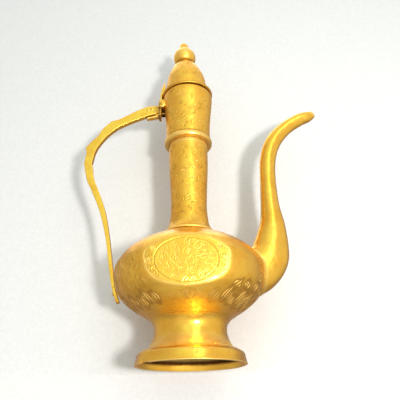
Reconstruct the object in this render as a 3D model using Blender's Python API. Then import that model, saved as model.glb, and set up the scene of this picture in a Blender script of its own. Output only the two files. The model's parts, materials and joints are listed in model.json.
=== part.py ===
"""A brass ewer with a pedestal foot, a flattened round belly, a tall neck, a swan-neck
spout, a strap handle and a hinged domed lid. Metres, +Z up, the spout towards +X.

The origin is the middle of the footprint, on the plane that the foot stands on. The
turned pieces share an upright axis, which the handle and spout put a little off that
middle. Lengths below are in millimetres, in the pot's own frame, where x = 0 is the
turned axis, and MM turns them into metres.
"""

import math

import bmesh
import bpy
from mathutils import Vector

MM = 0.001

# Driving dimensions
TOTAL_HEIGHT = 268.4
POT_AXIS_X = -10.6
WALL = 1.6
GAP = 0.3
SEGMENTS = 32

FOOT_RADIUS = 35.7
BELLY_RADIUS = 51.06
BELLY_SEAM = 57.6
FACET_DISTANCE = 44.0
NECK_BASE = 88.3
NECK_TOP = 171.0
RIM_TOP = 208.1

# The lid turns about the pin, which runs along Y, and is drawn slightly ajar
HINGE_X = -21.8
HINGE_Z = 202.0
LID_AJAR = math.radians(2.5)
PIN_RADIUS = 0.8
PIN_HOLE_RADIUS = 1.1
KNUCKLE_RADIUS = 1.8
KNUCKLE_HALF = 3.5
EAR_INSIDE = 3.9
EAR_OUTSIDE = 6.5

HANDLE_THICKNESS = 4.2
BLADE_THICKNESS = 1.2
RIVET_RADIUS = 0.7
RIVET_HOLE_RADIUS = 1.0
RIVET_HEAD_RADIUS = 1.2
RIVET_HEAD_HEIGHT = 0.5
ROOT_RIVETS = ((-28.9, 198.4), (-32.2, 197.2))
TAIL_RIVET_Z = 47.0
TAIL_RIVET_SPAN = (-52.3, -45.6)

POURING_HOLE_RADIUS = 5.5
POURING_HOLE_Z = 67.0

# Outer outlines of the turned pieces, as (radius, height) from the bottom up
FLANGE_OUTLINE = (
    (FOOT_RADIUS, 0),
    (35.2, 1.4),
    (34.6, 3.8),
    (34.2, 6.0),
    (33.6, 6.9),
    (31.2, 8.4),
    (28.9, 9.3),
)
STEM_OUTLINE = (
    (28.5, 9.5),
    (26.7, 11.3),
    (24.6, 15.6),
    (23.6, 20.4),
    (24.3, 24.8),
    (26.4, 28.0),
)
LOWER_OUTLINE = (
    (26.7, 28.3),
    (31.5, 31.4),
    (38.6, 36.0),
    (46.0, 42.4),
    (49.8, 49.5),
    (BELLY_RADIUS, BELLY_SEAM),
)
UPPER_OUTLINE = (
    (BELLY_RADIUS, BELLY_SEAM + GAP),
    (50.7, 62.0),
    (48.8, 66.0),
    (44.3, 72.0),
    (36.3, 78.0),
    (24.0, 84.2),
    (15.2, 87.6),
)
NECK_OUTLINE = (
    (16.4, 90.6),
    (14.5, 95.0),
    (13.4, 103.0),
    (13.1, 111.0),
    (13.6, 124.0),
    (14.7, 145.0),
    (14.8, NECK_TOP),
)
MOUTH_OUTLINE = (
    (17.2, 167.0),
    (17.2, 177.0),
    (18.1, 189.0),
    (19.0, 197.5),
    (19.7, 204.0),
    (19.6, RIM_TOP),
)
DOME_OUTLINE = (
    (16.4, 212.4),
    (16.6, 215.0),
    (16.3, 220.0),
    (15.6, 226.0),
    (14.2, 231.0),
    (12.1, 236.2),
    (9.4, 241.0),
    (6.2, 243.4),
    (2.4, 244.4),
)

# The spout's centre line, as (x, z, half height of the section, half width of the section)
SPOUT_STATIONS = (
    (38.0, 57.5, 15.2, 10.5),
    (46.2, 60.6, 15.5, 11.5),
    (54.2, 69.0, 14.3, 11.5),
    (57.4, 79.0, 12.1, 10.5),
    (59.4, 94.0, 9.0, 8.2),
    (59.2, 107.0, 7.0, 6.9),
    (59.2, 127.0, 6.0, 6.0),
    (60.8, 148.0, 6.0, 5.8),
    (66.2, 163.6, 6.1, 5.7),
    (76.5, 176.0, 5.6, 5.3),
    (88.0, 183.8, 5.1, 4.8),
    (94.8, 186.5, 4.5, 4.3),
    (99.4, 188.6, 3.1, 3.7),
)
SPOUT_WALL = 1.2
# The direction that the spout's cut mouth faces
SPOUT_MOUTH = (0.66, 0.75)

# The handle's two edges, from the neck to the belly, as (x, z)
HANDLE_OUTER = (
    (-24.0, 201.2),
    (-32.0, 200.8),
    (-41.4, 196.8),
    (-48.0, 193.0),
    (-55.4, 188.9),
    (-61.4, 187.4),
    (-63.2, 185.2),
    (-67.1, 181.4),
    (-69.2, 178.1),
    (-71.2, 173.7),
    (-75.5, 168.9),
    (-80.4, 162.6),
    (-79.0, 159.6),
    (-80.2, 148.8),
    (-77.0, 134.8),
    (-72.4, 124.8),
    (-64.7, 106.4),
    (-59.4, 86.8),
    (-55.8, 65.7),
    (-54.0, 56.2),
    (-52.2, 48.8),
    (-49.4, 40.6),
)
HANDLE_INNER = (
    (-24.0, 194.4),
    (-32.7, 191.6),
    (-41.1, 188.3),
    (-48.1, 185.2),
    (-55.0, 181.8),
    (-57.6, 179.8),
    (-60.2, 177.6),
    (-63.8, 174.0),
    (-66.3, 170.7),
    (-68.6, 167.1),
    (-70.8, 163.3),
    (-71.9, 160.6),
    (-72.8, 157.6),
    (-74.2, 148.8),
    (-71.6, 135.4),
    (-67.5, 125.4),
    (-61.3, 108.4),
    (-57.0, 88.8),
    (-53.1, 65.6),
    (-51.6, 56.2),
    (-50.0, 48.8),
    (-47.1, 41.2),
)


def brass(name, colour, roughness):
    material = bpy.data.materials.new(name + "_brass")
    material.use_nodes = True
    shader = material.node_tree.nodes["Principled BSDF"]
    shader.inputs["Base Color"].default_value = (*colour, 1.0)
    shader.inputs["Metallic"].default_value = 1.0
    shader.inputs["Roughness"].default_value = roughness
    return material


POLISHED = ((0.76, 0.46, 0.10), 0.26)
ENGRAVED = ((0.72, 0.47, 0.13), 0.38)
CAST = ((0.70, 0.44, 0.11), 0.34)


def new_object(name, mesh, finish, parent):
    """Put a mesh, drawn in the pot's frame, under one of the two empties."""
    part = bpy.data.objects.new(name, mesh)
    bpy.context.collection.objects.link(part)
    mesh.materials.append(brass(name, *finish))
    part.parent = parent
    part.location = -Vector(parent["pot_point"])
    return part


def finish_mesh(bm, name):
    bmesh.ops.recalc_face_normals(bm, faces=bm.faces)
    mesh = bpy.data.meshes.new(name)
    bm.to_mesh(mesh)
    bm.free()
    mesh.shade_smooth()
    mesh.set_sharp_from_angle(angle=math.radians(35))
    return mesh


def flowing(points, steps):
    """Points on a smooth curve through the given ones, with this many steps to each span."""
    through = [Vector(p) for p in points]
    before = [2 * through[0] - through[1]] + through[:-1]
    after = through[1:] + [2 * through[-1] - through[-2]]
    curve = [through[0]]
    for i in range(len(through) - 1):
        start, end = through[i], through[i + 1]
        leave = (end - before[i]) / 2
        arrive = (after[i + 1] - start) / 2
        for step in range(1, steps + 1):
            t = step / steps
            curve.append(
                (2 * t**3 - 3 * t**2 + 1) * start
                + (t**3 - 2 * t**2 + t) * leave
                + (3 * t**2 - 2 * t**3) * end
                + (t**3 - t**2) * arrive
            )
    return curve


def beside(curve, distance):
    """The curve that runs this far to the left of a curve, as seen going along it."""
    shifted = []
    for i, point in enumerate(curve):
        along = curve[min(i + 1, len(curve) - 1)] - curve[max(i - 1, 0)]
        along.normalize()
        shifted.append(point + distance * Vector((-along.y, along.x)))
    return shifted


def turned(name, profile, finish=POLISHED, parent=None, segments=SEGMENTS):
    """Spin a closed (radius, height) profile, or one with both ends on the axis."""
    bm = bmesh.new()
    verts = [bm.verts.new((r * MM, 0.0, z * MM)) for r, z in profile]
    closed = profile[0][0] > 0 or profile[-1][0] > 0
    for i in range(len(verts) if closed else len(verts) - 1):
        bm.edges.new((verts[i], verts[(i + 1) % len(verts)]))
    bmesh.ops.spin(
        bm,
        geom=bm.verts[:] + bm.edges[:],
        cent=(0, 0, 0),
        axis=(0, 0, 1),
        angle=2 * math.pi,
        steps=segments,
        use_merge=True,
    )
    bmesh.ops.remove_doubles(bm, verts=bm.verts, dist=1e-6)
    mesh = finish_mesh(bm, name)
    if parent is None:
        return guide(name, mesh)
    return new_object(name, mesh, finish, parent)


def prism(name, outline, low, high, finish=CAST, parent=None):
    """Push an outline in the XZ plane through from y = low to y = high."""
    bm = bmesh.new()
    face = bm.faces.new([bm.verts.new((x * MM, low * MM, z * MM)) for x, z in outline])
    pushed = bmesh.ops.extrude_face_region(bm, geom=[face])["geom"]
    moved = [v for v in pushed if isinstance(v, bmesh.types.BMVert)]
    bmesh.ops.translate(bm, verts=moved, vec=(0, (high - low) * MM, 0))
    mesh = finish_mesh(bm, name)
    if parent is None:
        return guide(name, mesh)
    return new_object(name, mesh, finish, parent)


def loft(name, rings, finish=CAST, parent=None):
    """Skin equal rings of points, in millimetres, and close both ends."""
    bm = bmesh.new()
    rows = [[bm.verts.new(Vector(p) * MM) for p in ring] for ring in rings]
    count = len(rows[0])
    for one, two in zip(rows, rows[1:]):
        for i in range(count):
            j = (i + 1) % count
            bm.faces.new((one[i], one[j], two[j], two[i]))
    bm.faces.new(rows[0])
    bm.faces.new(rows[-1])
    mesh = finish_mesh(bm, name)
    if parent is None:
        return guide(name, mesh)
    return new_object(name, mesh, finish, parent)


def guide(name, mesh):
    """A shape that only cuts or joins another, and isn't a piece of the pot."""
    shape = bpy.data.objects.new(name, mesh)
    bpy.context.collection.objects.link(shape)
    shape.parent = pot
    shape.hide_render = True
    shape.display_type = "WIRE"
    return shape


def rod_outline(x, z, radius, segments=16):
    turn = [2 * math.pi * (i + 0.5) / segments for i in range(segments)]
    return [(x + radius * math.cos(a), z + radius * math.sin(a)) for a in turn]


def box_outline(x0, x1, z0, z1):
    return ((x0, z0), (x1, z0), (x1, z1), (x0, z1))


def combine(part, others, operation):
    """Shape a part with guides, which then move with it."""
    for other in others:
        other.parent = part.parent
        other.location = part.location
        modifier = part.modifiers.new(operation.lower() + "_" + other.name, "BOOLEAN")
        modifier.operation = operation
        modifier.solver = "EXACT"
        modifier.object = other


def shell(outline, steps, wall=WALL, level_start=False, level_end=False):
    """A closed profile: the outline, and back down a curve one wall inside it."""
    outer = flowing(outline, steps)
    inner = beside(outer, wall)
    if level_start:
        inner[0] = Vector((outer[0].x - wall, outer[0].y))
    if level_end:
        inner[-1] = Vector((outer[-1].x - wall, outer[-1].y))
    return outer + inner[::-1]


def facet_slabs(label, distance):
    """Two slabs that slice the belly flat, front and back, for the medallions."""
    reach = BELLY_RADIUS + 10
    outline = box_outline(-reach, reach, 0, 100)
    return [
        prism(label + "_front", outline, -reach, -distance),
        prism(label + "_back", outline, distance, reach),
    ]


def foot():
    turned("foot_flange", shell(FLANGE_OUTLINE, 1, level_start=True), POLISHED, pot)
    turned("foot_stem", shell(STEM_OUTLINE, 2), POLISHED, pot)


def lower_bowl():
    """The cup below the belly's seam, closed by a shallow floor inside the foot."""
    outer = flowing(LOWER_OUTLINE, 2)
    under_floor = [Vector((25.6, 29.3)), Vector((14.0, 28.6)), Vector((0.0, 28.2))]
    solid = under_floor[::-1] + outer + [Vector((0.0, BELLY_SEAM))]
    bowl = turned("body_lower_bowl", solid, ENGRAVED, pot)
    wall = beside(outer, WALL)[3:]
    wall[-1] = Vector((BELLY_RADIUS - WALL, BELLY_SEAM + 1))
    floor = [Vector((0.0, 29.8)), Vector((22.0, 30.6)), Vector((28.0, 32.0))]
    hollow = turned("lower_hollow", floor + wall + [Vector((0.0, BELLY_SEAM + 1))])
    combine(hollow, facet_slabs("lower_hollow_slab", FACET_DISTANCE - WALL), "DIFFERENCE")
    hole = x_cutter("tail_rivet_hole", -60, -42, TAIL_RIVET_Z, RIVET_HOLE_RADIUS, 12)
    combine(bowl, facet_slabs("lower_slab", FACET_DISTANCE) + [hollow, hole], "DIFFERENCE")


def upper_bowl():
    """The shoulder above the seam, open at the neck, with one hole behind the spout."""
    outer = flowing(UPPER_OUTLINE, 2)
    top = UPPER_OUTLINE[-1][1]
    solid = [Vector((0.0, BELLY_SEAM + GAP))] + outer + [Vector((0.0, top))]
    bowl = turned("body_upper_bowl", solid, ENGRAVED, pot)
    wall = beside(outer, WALL)
    wall[0] = Vector((BELLY_RADIUS - WALL, BELLY_SEAM - 1))
    throat = [Vector((12.6, 86.4)), Vector((12.6, top + 1)), Vector((0.0, top + 1))]
    hollow = turned("upper_hollow", [Vector((0.0, BELLY_SEAM - 1))] + wall[:-1] + throat)
    combine(hollow, facet_slabs("upper_hollow_slab", FACET_DISTANCE - WALL), "DIFFERENCE")
    hole = x_cutter("pouring_hole", 36, 56, POURING_HOLE_Z, POURING_HOLE_RADIUS, 20)
    combine(bowl, facet_slabs("upper_slab", FACET_DISTANCE) + [hollow, hole], "DIFFERENCE")


def x_cutter(name, x0, x1, z, radius, segments=16):
    """A round cutter that lies along X."""
    circle = rod_outline(0, z, radius, segments)
    return loft(name, [[(x, a, b) for a, b in circle] for x in (x0, x1)])


def neck():
    """The tall neck, with a spread foot that sits on the shoulder."""
    outer = [Vector((17.9, 87.2)), Vector((18.1, 88.4)), Vector((17.5, 89.4))]
    outer += flowing(NECK_OUTLINE, 1)
    inner = [Vector((r.x - WALL, r.y)) for r in flowing(NECK_OUTLINE, 1)[1:]]
    seat = [Vector((12.6, 88.2)), Vector((15.3, NECK_BASE - 0.35))]
    turned("neck_tube", outer + inner[::-1] + seat, ENGRAVED, pot)


def collar():
    bore = 15.5
    bead = [(16.6, 161.8), (17.9, 162.4), (18.55, 163.8), (18.4, 165.4), (17.5, 166.6)]
    turned("collar_ring", [(bore, 162.0)] + bead + [(bore, 166.6)], POLISHED, pot)


def mouth():
    turned("mouth_tube", shell(MOUTH_OUTLINE, 1, level_start=True, level_end=True), ENGRAVED, pot)


def lid():
    """The dome, its flat lip, and the short rim that locates it inside the mouth."""
    dome = flowing(DOME_OUTLINE, 1)
    lip = [(16.0, 208.5), (20.3, 208.5), (20.7, 209.2), (20.6, 210.3), (19.8, 210.9), (17.2, 211.2)]
    locating_rim = [(14.8, 206.2), (16.0, 206.2)]
    inside = beside(dome, WALL)
    inside[-1] = Vector((2.4, 242.8))
    profile = locating_rim + lip + list(dome) + inside[::-1]
    turned("lid_dome", profile, ENGRAVED, lid_hinge)
    finial()


def finial():
    """Turned in one piece with a shank that is peened over inside the dome."""
    shank = 2.0
    peened = [(0, 240.8), (3.0, 241.0), (3.2, 242.0), (shank, 242.3), (shank, 244.8)]
    bead = [(5.0, 244.8), (7.4, 246.2), (8.9, 248.6), (9.4, 251.4), (9.1, 254.2), (7.7, 257.0)]
    tip = [(5.9, 259.2), (4.7, 260.8), (4.1, 263.0), (3.5, 265.4), (2.6, 267.2), (1.4, 268.1)]
    turned("finial", peened + bead + tip + [(0, TOTAL_HEIGHT)], POLISHED, lid_hinge, 24)


def hinge():
    """The leaf on the lid with its knuckle and thumb piece, and the pin through it."""
    half = KNUCKLE_HALF
    knuckle = rod_outline(HINGE_X, HINGE_Z, KNUCKLE_RADIUS, 20)
    leaf = prism("lid_hinge_leaf", knuckle, -half, half, CAST, lid_hinge)
    arm = ((-23.3, 202.6), (-21.0, 203.4), (-20.75, 205.4), (-20.75, 211.3), (-17.4, 211.5), (-17.5, 212.8))
    arm += ((-21.1, 213.0), (-22.0, 211.0), (-22.2, 206.0))
    thumb = [
        (-21.1, -18.2, 212.0, 3.2),
        (-21.1, -17.9, 214.2, 3.8),
        (-20.2, -17.7, 218.0, 3.6),
        (-19.0, -17.5, 222.0, 2.3),
        (-18.1, -17.4, 225.0, 0.8),
    ]
    rings = []
    for x0, x1, z, width in thumb:
        rings.append([(x0, -width, z), (x1, -width, z), (x1, width, z), (x0, width, z)])
    thumb_piece = loft("thumb_piece", rings)
    arm_piece = prism("leaf_arm", arm, -half, half)
    bore = prism("knuckle_bore", rod_outline(HINGE_X, HINGE_Z, PIN_HOLE_RADIUS), -9, 9)
    combine(leaf, [arm_piece, thumb_piece], "UNION")
    combine(leaf, [bore], "DIFFERENCE")
    pin_half = EAR_OUTSIDE + 0.5
    prism("hinge_pin", rod_outline(HINGE_X, HINGE_Z, PIN_RADIUS), -pin_half, pin_half, CAST, pot)


def bracket():
    """The plate on the mouth: two ears for the pin, a blade in the handle, a tongue below it."""
    plate = prism("hinge_bracket", box_outline(-23.6, -21.2, 190.2, 199.7), -4.6, 4.6, CAST, pot)
    blade_half = BLADE_THICKNESS / 2
    blade_shape = ((-22, 192), (-22, 199.4), (-30, 199.8), (-34.2, 198.4), (-34.2, 195.0))
    blade = prism("bracket_blade", blade_shape, -blade_half, blade_half)
    tongue_shape = ((-33.0, 188.8), (-22, 190.8), (-22, 192.1), (-32.8, 189.9))
    tongue = prism("bracket_tongue", tongue_shape, -2.1, 2.1)
    pad = prism("bracket_pad", box_outline(-22, -14, 192.5, 198.5), -2.6, 2.6)
    ear = ((-23.6, 196.6), (-19.8, 196.8), (-17.0, 198.4), (-16.6, 203.0), (-17.6, 204.0))
    ear += ((-21.8, 203.9), (-23.1, 203.4), (-23.7, 202.0))
    ears = [
        prism("ear_front", ear, -EAR_OUTSIDE, -EAR_INSIDE),
        prism("ear_back", ear, EAR_INSIDE, EAR_OUTSIDE),
    ]
    combine(plate, [blade, tongue, pad] + ears, "UNION")
    clear_of_mouth = turned("mouth_clearance", mouth_clearance())
    pin_bore = prism("ear_bore", rod_outline(HINGE_X, HINGE_Z, PIN_HOLE_RADIUS), -9, 9)
    rivet_bores = []
    for i, (x, z) in enumerate(ROOT_RIVETS):
        rivet_bores.append(prism(f"blade_bore_{i}", rod_outline(x, z, RIVET_HOLE_RADIUS, 12), -4, 4))
    combine(plate, [clear_of_mouth, pin_bore] + rivet_bores, "DIFFERENCE")


def mouth_clearance():
    """A solid that stands one gap outside the mouth tube."""
    outer = beside(flowing(MOUTH_OUTLINE, 2), -GAP)
    return [Vector((0, 167.0))] + outer + [Vector((0, RIM_TOP))]


def belly_clearance():
    """A solid that stands one gap outside the belly, to cut what is fitted to it."""
    outline = flowing(LOWER_OUTLINE, 2) + flowing(UPPER_OUTLINE, 2)
    outer = beside(outline, -GAP)
    return [Vector((0, 28.0))] + outer + [Vector((0, 87.6))]


def strap_edge(points):
    """The edge curves, but runs straight between the corners of the bumps and the cusp."""
    corners = [Vector(p) for p in points[5:13]]
    return flowing(points[:5], 2) + corners + flowing(points[13:], 2)


def handle():
    """A strap sawn to the outline, slit for the blade and tapered down to the belly."""
    outer, inner = strap_edge(HANDLE_OUTER), strap_edge(HANDLE_INNER)
    half = HANDLE_THICKNESS / 2
    soft = 0.5
    rings = []
    for a, b in zip(outer, inner):
        across = (b - a).normalized() * soft
        edge = half - soft
        ring = [(a, -edge), (a + across, -half), (b - across, -half), (b, -edge)]
        ring += [(b, edge), (b - across, half), (a + across, half), (a, edge)]
        rings.append([(p.x, y, p.y) for p, y in ring])
    strap = loft("handle", rings, CAST, pot)
    slit_half = BLADE_THICKNESS / 2 + GAP
    slit = prism("handle_slit", box_outline(-34.7, -23.0, 186, 206), -slit_half, slit_half)
    bores = []
    for i, (x, z) in enumerate(ROOT_RIVETS):
        bores.append(prism(f"root_bore_{i}", rod_outline(x, z, RIVET_HOLE_RADIUS, 12), -4, 4))
    tail_bore = x_cutter("tail_bore", -60, -46, TAIL_RIVET_Z, RIVET_HOLE_RADIUS, 12)
    combine(strap, [slit, tail_bore] + bores, "DIFFERENCE")


def rivets():
    """Two across the handle's root, and one through its tail into the belly."""
    seat = HANDLE_THICKNESS / 2 + GAP
    top = seat + RIVET_HEAD_HEIGHT
    crown = 0.6 * RIVET_HEAD_RADIUS
    head = ((top, crown), (seat, RIVET_HEAD_RADIUS), (seat, RIVET_RADIUS))
    sections = [(-y, r) for y, r in head] + list(head[::-1])
    for i, (x, z) in enumerate(ROOT_RIVETS):
        rings = [[(a, y, b) for a, b in rod_outline(x, z, r, 12)] for y, r in sections]
        loft(f"handle_root_rivet_{i + 1}", rings, CAST, pot)
    outside = TAIL_RIVET_SPAN[0]
    rings = []
    sections = [(outside - RIVET_HEAD_HEIGHT, crown), (outside, RIVET_HEAD_RADIUS)]
    sections += [(x, RIVET_RADIUS) for x in TAIL_RIVET_SPAN]
    for x, r in sections:
        rings.append([(x, a, b) for a, b in rod_outline(0, TAIL_RIVET_Z, r, 12)])
    loft("handle_tail_rivet", rings, CAST, pot)


def spout_ring(centre, along, half_height, half_width, side):
    """One half of a hollow oval section, square to the spout's centre line."""
    across = Vector((-along.y, along.x))
    arc = [math.pi * i / 8 for i in range(9)]
    ring = []
    for shrink, angles in ((0.0, arc), (SPOUT_WALL, arc[::-1])):
        for a in angles:
            rise = (half_height - shrink) * math.cos(a)
            out = (half_width - shrink) * math.sin(a)
            point = centre + across * rise
            ring.append((point.x, side * (GAP / 2 + out), point.y))
    return ring


def spout():
    """Two cast halves brazed down the middle and fitted to the belly's side."""
    stations = flowing([Vector(s) for s in SPOUT_STATIONS], 2)
    path = [Vector((s[0], s[1])) for s in stations]
    fitted = turned("belly_clearance", belly_clearance(), segments=72)
    for name, side in (("spout_front_half", -1), ("spout_rear_half", 1)):
        rings = []
        for i, station in enumerate(stations):
            along = path[min(i + 1, len(path) - 1)] - path[max(i - 1, 0)]
            if i == len(stations) - 1:
                along = Vector(SPOUT_MOUTH)
            rings.append(spout_ring(path[i], along.normalized(), station[2], station[3], side))
        half = loft(name, rings, POLISHED, pot)
        combine(half, [fitted], "DIFFERENCE")


def empty(name, location, pot_point):
    holder = bpy.data.objects.new(name, None)
    bpy.context.collection.objects.link(holder)
    holder.location = Vector(location) * MM
    holder["pot_point"] = Vector(pot_point) * MM
    return holder


for old in list(bpy.data.objects):
    bpy.data.objects.remove(old)

pot = empty("pot", (POT_AXIS_X, 0, 0), (0, 0, 0))
lid_hinge = empty("lid_hinge", (POT_AXIS_X + HINGE_X, 0, HINGE_Z), (HINGE_X, 0, HINGE_Z))
lid_hinge.rotation_euler.y = -LID_AJAR

foot()
lower_bowl()
upper_bowl()
neck()
collar()
mouth()
lid()
hinge()
bracket()
handle()
rivets()
spout()
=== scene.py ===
"""Looks of the brass ewer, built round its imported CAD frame.

Lengths are in millimetres in the pot's own frame: x = 0, y = 0 is the turned axis, z = 0
is the plane that the foot stands on, and the spout points towards +x. `to_row` turns them
into the row frame. An angle round the pot is measured from its front (-y) towards the spout.

Every turned piece is a grid of rings whose rows follow a profile. Engraving is cut into
the grid as real grooves, and is also kept in a vertex attribute for the patina.
"""

import json
import math

import bmesh
import bpy
import numpy as np
from mathutils import Matrix, Vector

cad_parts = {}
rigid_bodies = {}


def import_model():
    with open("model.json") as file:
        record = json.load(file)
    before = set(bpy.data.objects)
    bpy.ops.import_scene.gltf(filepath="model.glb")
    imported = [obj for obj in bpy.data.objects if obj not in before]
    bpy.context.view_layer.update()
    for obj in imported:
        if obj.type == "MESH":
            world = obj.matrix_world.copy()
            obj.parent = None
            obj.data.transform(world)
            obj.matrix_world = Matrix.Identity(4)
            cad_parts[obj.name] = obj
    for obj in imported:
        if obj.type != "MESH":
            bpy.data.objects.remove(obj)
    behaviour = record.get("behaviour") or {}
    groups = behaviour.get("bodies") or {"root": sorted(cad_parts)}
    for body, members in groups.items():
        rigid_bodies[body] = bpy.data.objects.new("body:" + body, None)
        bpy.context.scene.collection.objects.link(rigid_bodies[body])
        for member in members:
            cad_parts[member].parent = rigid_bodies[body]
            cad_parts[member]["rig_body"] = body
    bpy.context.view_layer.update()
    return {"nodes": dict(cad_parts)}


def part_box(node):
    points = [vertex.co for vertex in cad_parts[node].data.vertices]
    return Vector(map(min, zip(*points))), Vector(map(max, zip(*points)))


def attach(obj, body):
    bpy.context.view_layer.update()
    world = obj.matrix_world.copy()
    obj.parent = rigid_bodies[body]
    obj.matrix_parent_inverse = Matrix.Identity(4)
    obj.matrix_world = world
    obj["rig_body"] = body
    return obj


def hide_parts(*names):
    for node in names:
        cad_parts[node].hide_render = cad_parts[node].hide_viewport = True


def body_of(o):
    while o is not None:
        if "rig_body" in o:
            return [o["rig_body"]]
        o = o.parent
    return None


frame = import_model()

MM = 0.001
POT_AXIS_X = (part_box("foot_flange")[0].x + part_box("foot_flange")[1].x) / 2

# ---------------------------------------------------------------- driving dimensions

WALL = 1.6
STEM_TOP = 28.2
SEAM = 57.75
BELLY_RADIUS = 51.06
FACET_DISTANCE = 44.0
FACET_RIM = 2.0
NECK_TOP = 171.0
RIM_TOP = 208.1
TOTAL_HEIGHT = 268.4

HINGE_X = -21.8
HINGE_Z = 202.0
LID_AJAR = math.radians(2.5)
PIN_RADIUS = 0.8
KNUCKLE_RADIUS = 1.8
KNUCKLE_HALF = 3.5
EAR_INSIDE = 3.9
EAR_OUTSIDE = 6.5
HANDLE_THICKNESS = 4.2
ROOT_RIVETS = ((-28.9, 198.4), (-32.2, 197.2))
TAIL_RIVET_X = -51.75
TAIL_RIVET_Z = 47.0
SPOUT_WALL = 1.2

PIN_BORE_RADIUS = 1.0
RIVET_BORE_RADIUS = 0.95

# How deep the graver goes, the half width of a cut that reaches that depth, and how far
# the dark ground reaches past a cut
GROOVE_DEPTH = 0.3
FULL_CUT = 0.35
GROUND_REACH = 1.7
# How far hand-worked metal stands off its true shape
UNEVENNESS = 0.035
# Distances between the points of a profile, where it is engraved and where it is hidden
FINE = 0.35
COARSE = 2.5
# Closed turned pieces that have no hidden side
NO_INSIDE = np.empty((0, 2))

# Outer outlines of the turned pieces, as (radius, height) from the bottom up
STEM_OUTLINE = ((28.6, 9.35), (26.7, 11.3), (24.6, 15.6), (23.6, 20.4), (24.3, 24.6), (27.1, 28.3))
LOWER_OUTLINE = ((31.7, 31.5), (38.6, 36.0), (46.0, 42.4), (49.8, 49.5), (51.06, 57.6))
UPPER_OUTLINE = (
    (51.06, 57.9), (50.7, 62.0), (48.8, 66.0), (44.3, 72.0),
    (36.3, 78.0), (24.0, 84.2), (15.2, 87.4),
)
NECK_OUTLINE = (
    (16.4, 90.6), (14.5, 95.0), (13.4, 103.0), (13.1, 111.0),
    (13.6, 124.0), (14.7, 145.0), (14.8, NECK_TOP),
)
MOUTH_OUTLINE = ((17.2, 166.7), (17.2, 177.0), (18.1, 189.0), (19.0, 197.5), (19.7, 204.0), (19.6, RIM_TOP))
DOME_OUTLINE = (
    (16.9, 212.2), (16.6, 215.0), (16.3, 220.0), (15.6, 226.0), (14.2, 231.0),
    (12.1, 236.2), (9.4, 241.0), (6.2, 243.4), (2.4, 244.4),
)

# The spout's centre line, as (x, z, half height of the section, half width of the section)
SPOUT_STATIONS = (
    (38.0, 57.5, 15.2, 10.9), (46.2, 60.6, 15.5, 11.7), (54.2, 69.0, 14.3, 11.2),
    (57.4, 79.0, 12.1, 9.8), (59.4, 94.0, 9.0, 8.0), (59.2, 107.0, 7.0, 6.8),
    (59.2, 127.0, 6.0, 6.0), (60.8, 148.0, 6.0, 5.8), (66.2, 163.6, 6.1, 5.7),
    (76.5, 176.0, 5.6, 5.3), (88.0, 183.8, 5.1, 4.8), (94.8, 186.5, 4.5, 4.3),
    (99.4, 188.6, 3.1, 3.7),
)
SPOUT_MOUTH = (0.66, 0.75)

# The handle's two edges, from the neck to the belly, as (x, z)
HANDLE_OUTER = (
    (-24.0, 201.2), (-32.0, 200.8), (-41.4, 196.8), (-48.0, 193.0), (-55.4, 188.9),
    (-61.4, 187.4), (-63.2, 185.2), (-67.1, 181.4), (-69.2, 178.1), (-71.2, 173.7),
    (-75.5, 168.9), (-80.4, 162.6), (-79.0, 159.6), (-80.2, 148.8), (-77.0, 134.8),
    (-72.4, 124.8), (-64.7, 106.4), (-59.4, 86.8), (-55.8, 65.7), (-54.0, 56.2),
    (-52.2, 48.8), (-49.4, 40.6),
)
HANDLE_INNER = (
    (-24.0, 194.4), (-32.7, 191.6), (-41.1, 188.3), (-48.1, 185.2), (-55.0, 181.8),
    (-57.6, 179.8), (-60.2, 177.6), (-63.8, 174.0), (-66.3, 170.7), (-68.6, 167.1),
    (-70.8, 163.3), (-71.9, 160.6), (-72.8, 157.6), (-74.2, 148.8), (-71.6, 135.4),
    (-67.5, 125.4), (-61.3, 108.4), (-57.0, 88.8), (-53.1, 65.6), (-51.6, 56.2),
    (-50.0, 48.8), (-47.1, 41.2),
)
# The points between these two are the handle's bumps and cusp, joined by straight cuts
HANDLE_BUMPS = (5, 13)


# ---------------------------------------------------------------- curves


def to_row(points):
    """Pot frame in millimetres to the row frame in metres."""
    return np.asarray(points, float) * MM + np.array((POT_AXIS_X, 0.0, 0.0))


def ajar(points):
    """The lid's points, turned open about the pin by the angle that the lid is drawn at."""
    x, z = points[..., 0] - HINGE_X, points[..., 2] - HINGE_Z
    c, s = math.cos(LID_AJAR), math.sin(LID_AJAR)
    return np.stack([HINGE_X + c * x - s * z, points[..., 1], HINGE_Z + s * x + c * z], -1)


def flowing(points, steps=12):
    """A smooth curve through the given points, with this many steps to each span."""
    through = np.array(points, float)
    before = np.vstack([2 * through[0] - through[1], through[:-1]])
    after = np.vstack([through[1:], 2 * through[-1] - through[-2]])
    slope = (after - before) / 2
    t = (np.arange(1, steps + 1) / steps)[:, None]
    rows = [through[:1]]
    for i in range(len(through) - 1):
        rows.append(
            (2 * t**3 - 3 * t**2 + 1) * through[i]
            + (t**3 - 2 * t**2 + t) * slope[i]
            + (3 * t**2 - 2 * t**3) * through[i + 1]
            + (t**3 - t**2) * slope[i + 1]
        )
    return np.vstack(rows)


def rounded(corners, radius, steps=5):
    """A polyline whose inner corners are replaced by short curves."""
    corners = np.array(corners, float)
    rows = [corners[:1]]
    t = np.linspace(0, 1, steps + 1)[:, None]
    for before, corner, after in zip(corners, corners[1:], corners[2:]):
        into, away = before - corner, after - corner
        reach = min(radius, 0.45 * np.linalg.norm(into), 0.45 * np.linalg.norm(away))
        start = corner + into / np.linalg.norm(into) * reach
        end = corner + away / np.linalg.norm(away) * reach
        rows.append((1 - t) ** 2 * start + 2 * t * (1 - t) * corner + t**2 * end)
    rows.append(corners[-1:])
    return np.vstack(rows)


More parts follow.
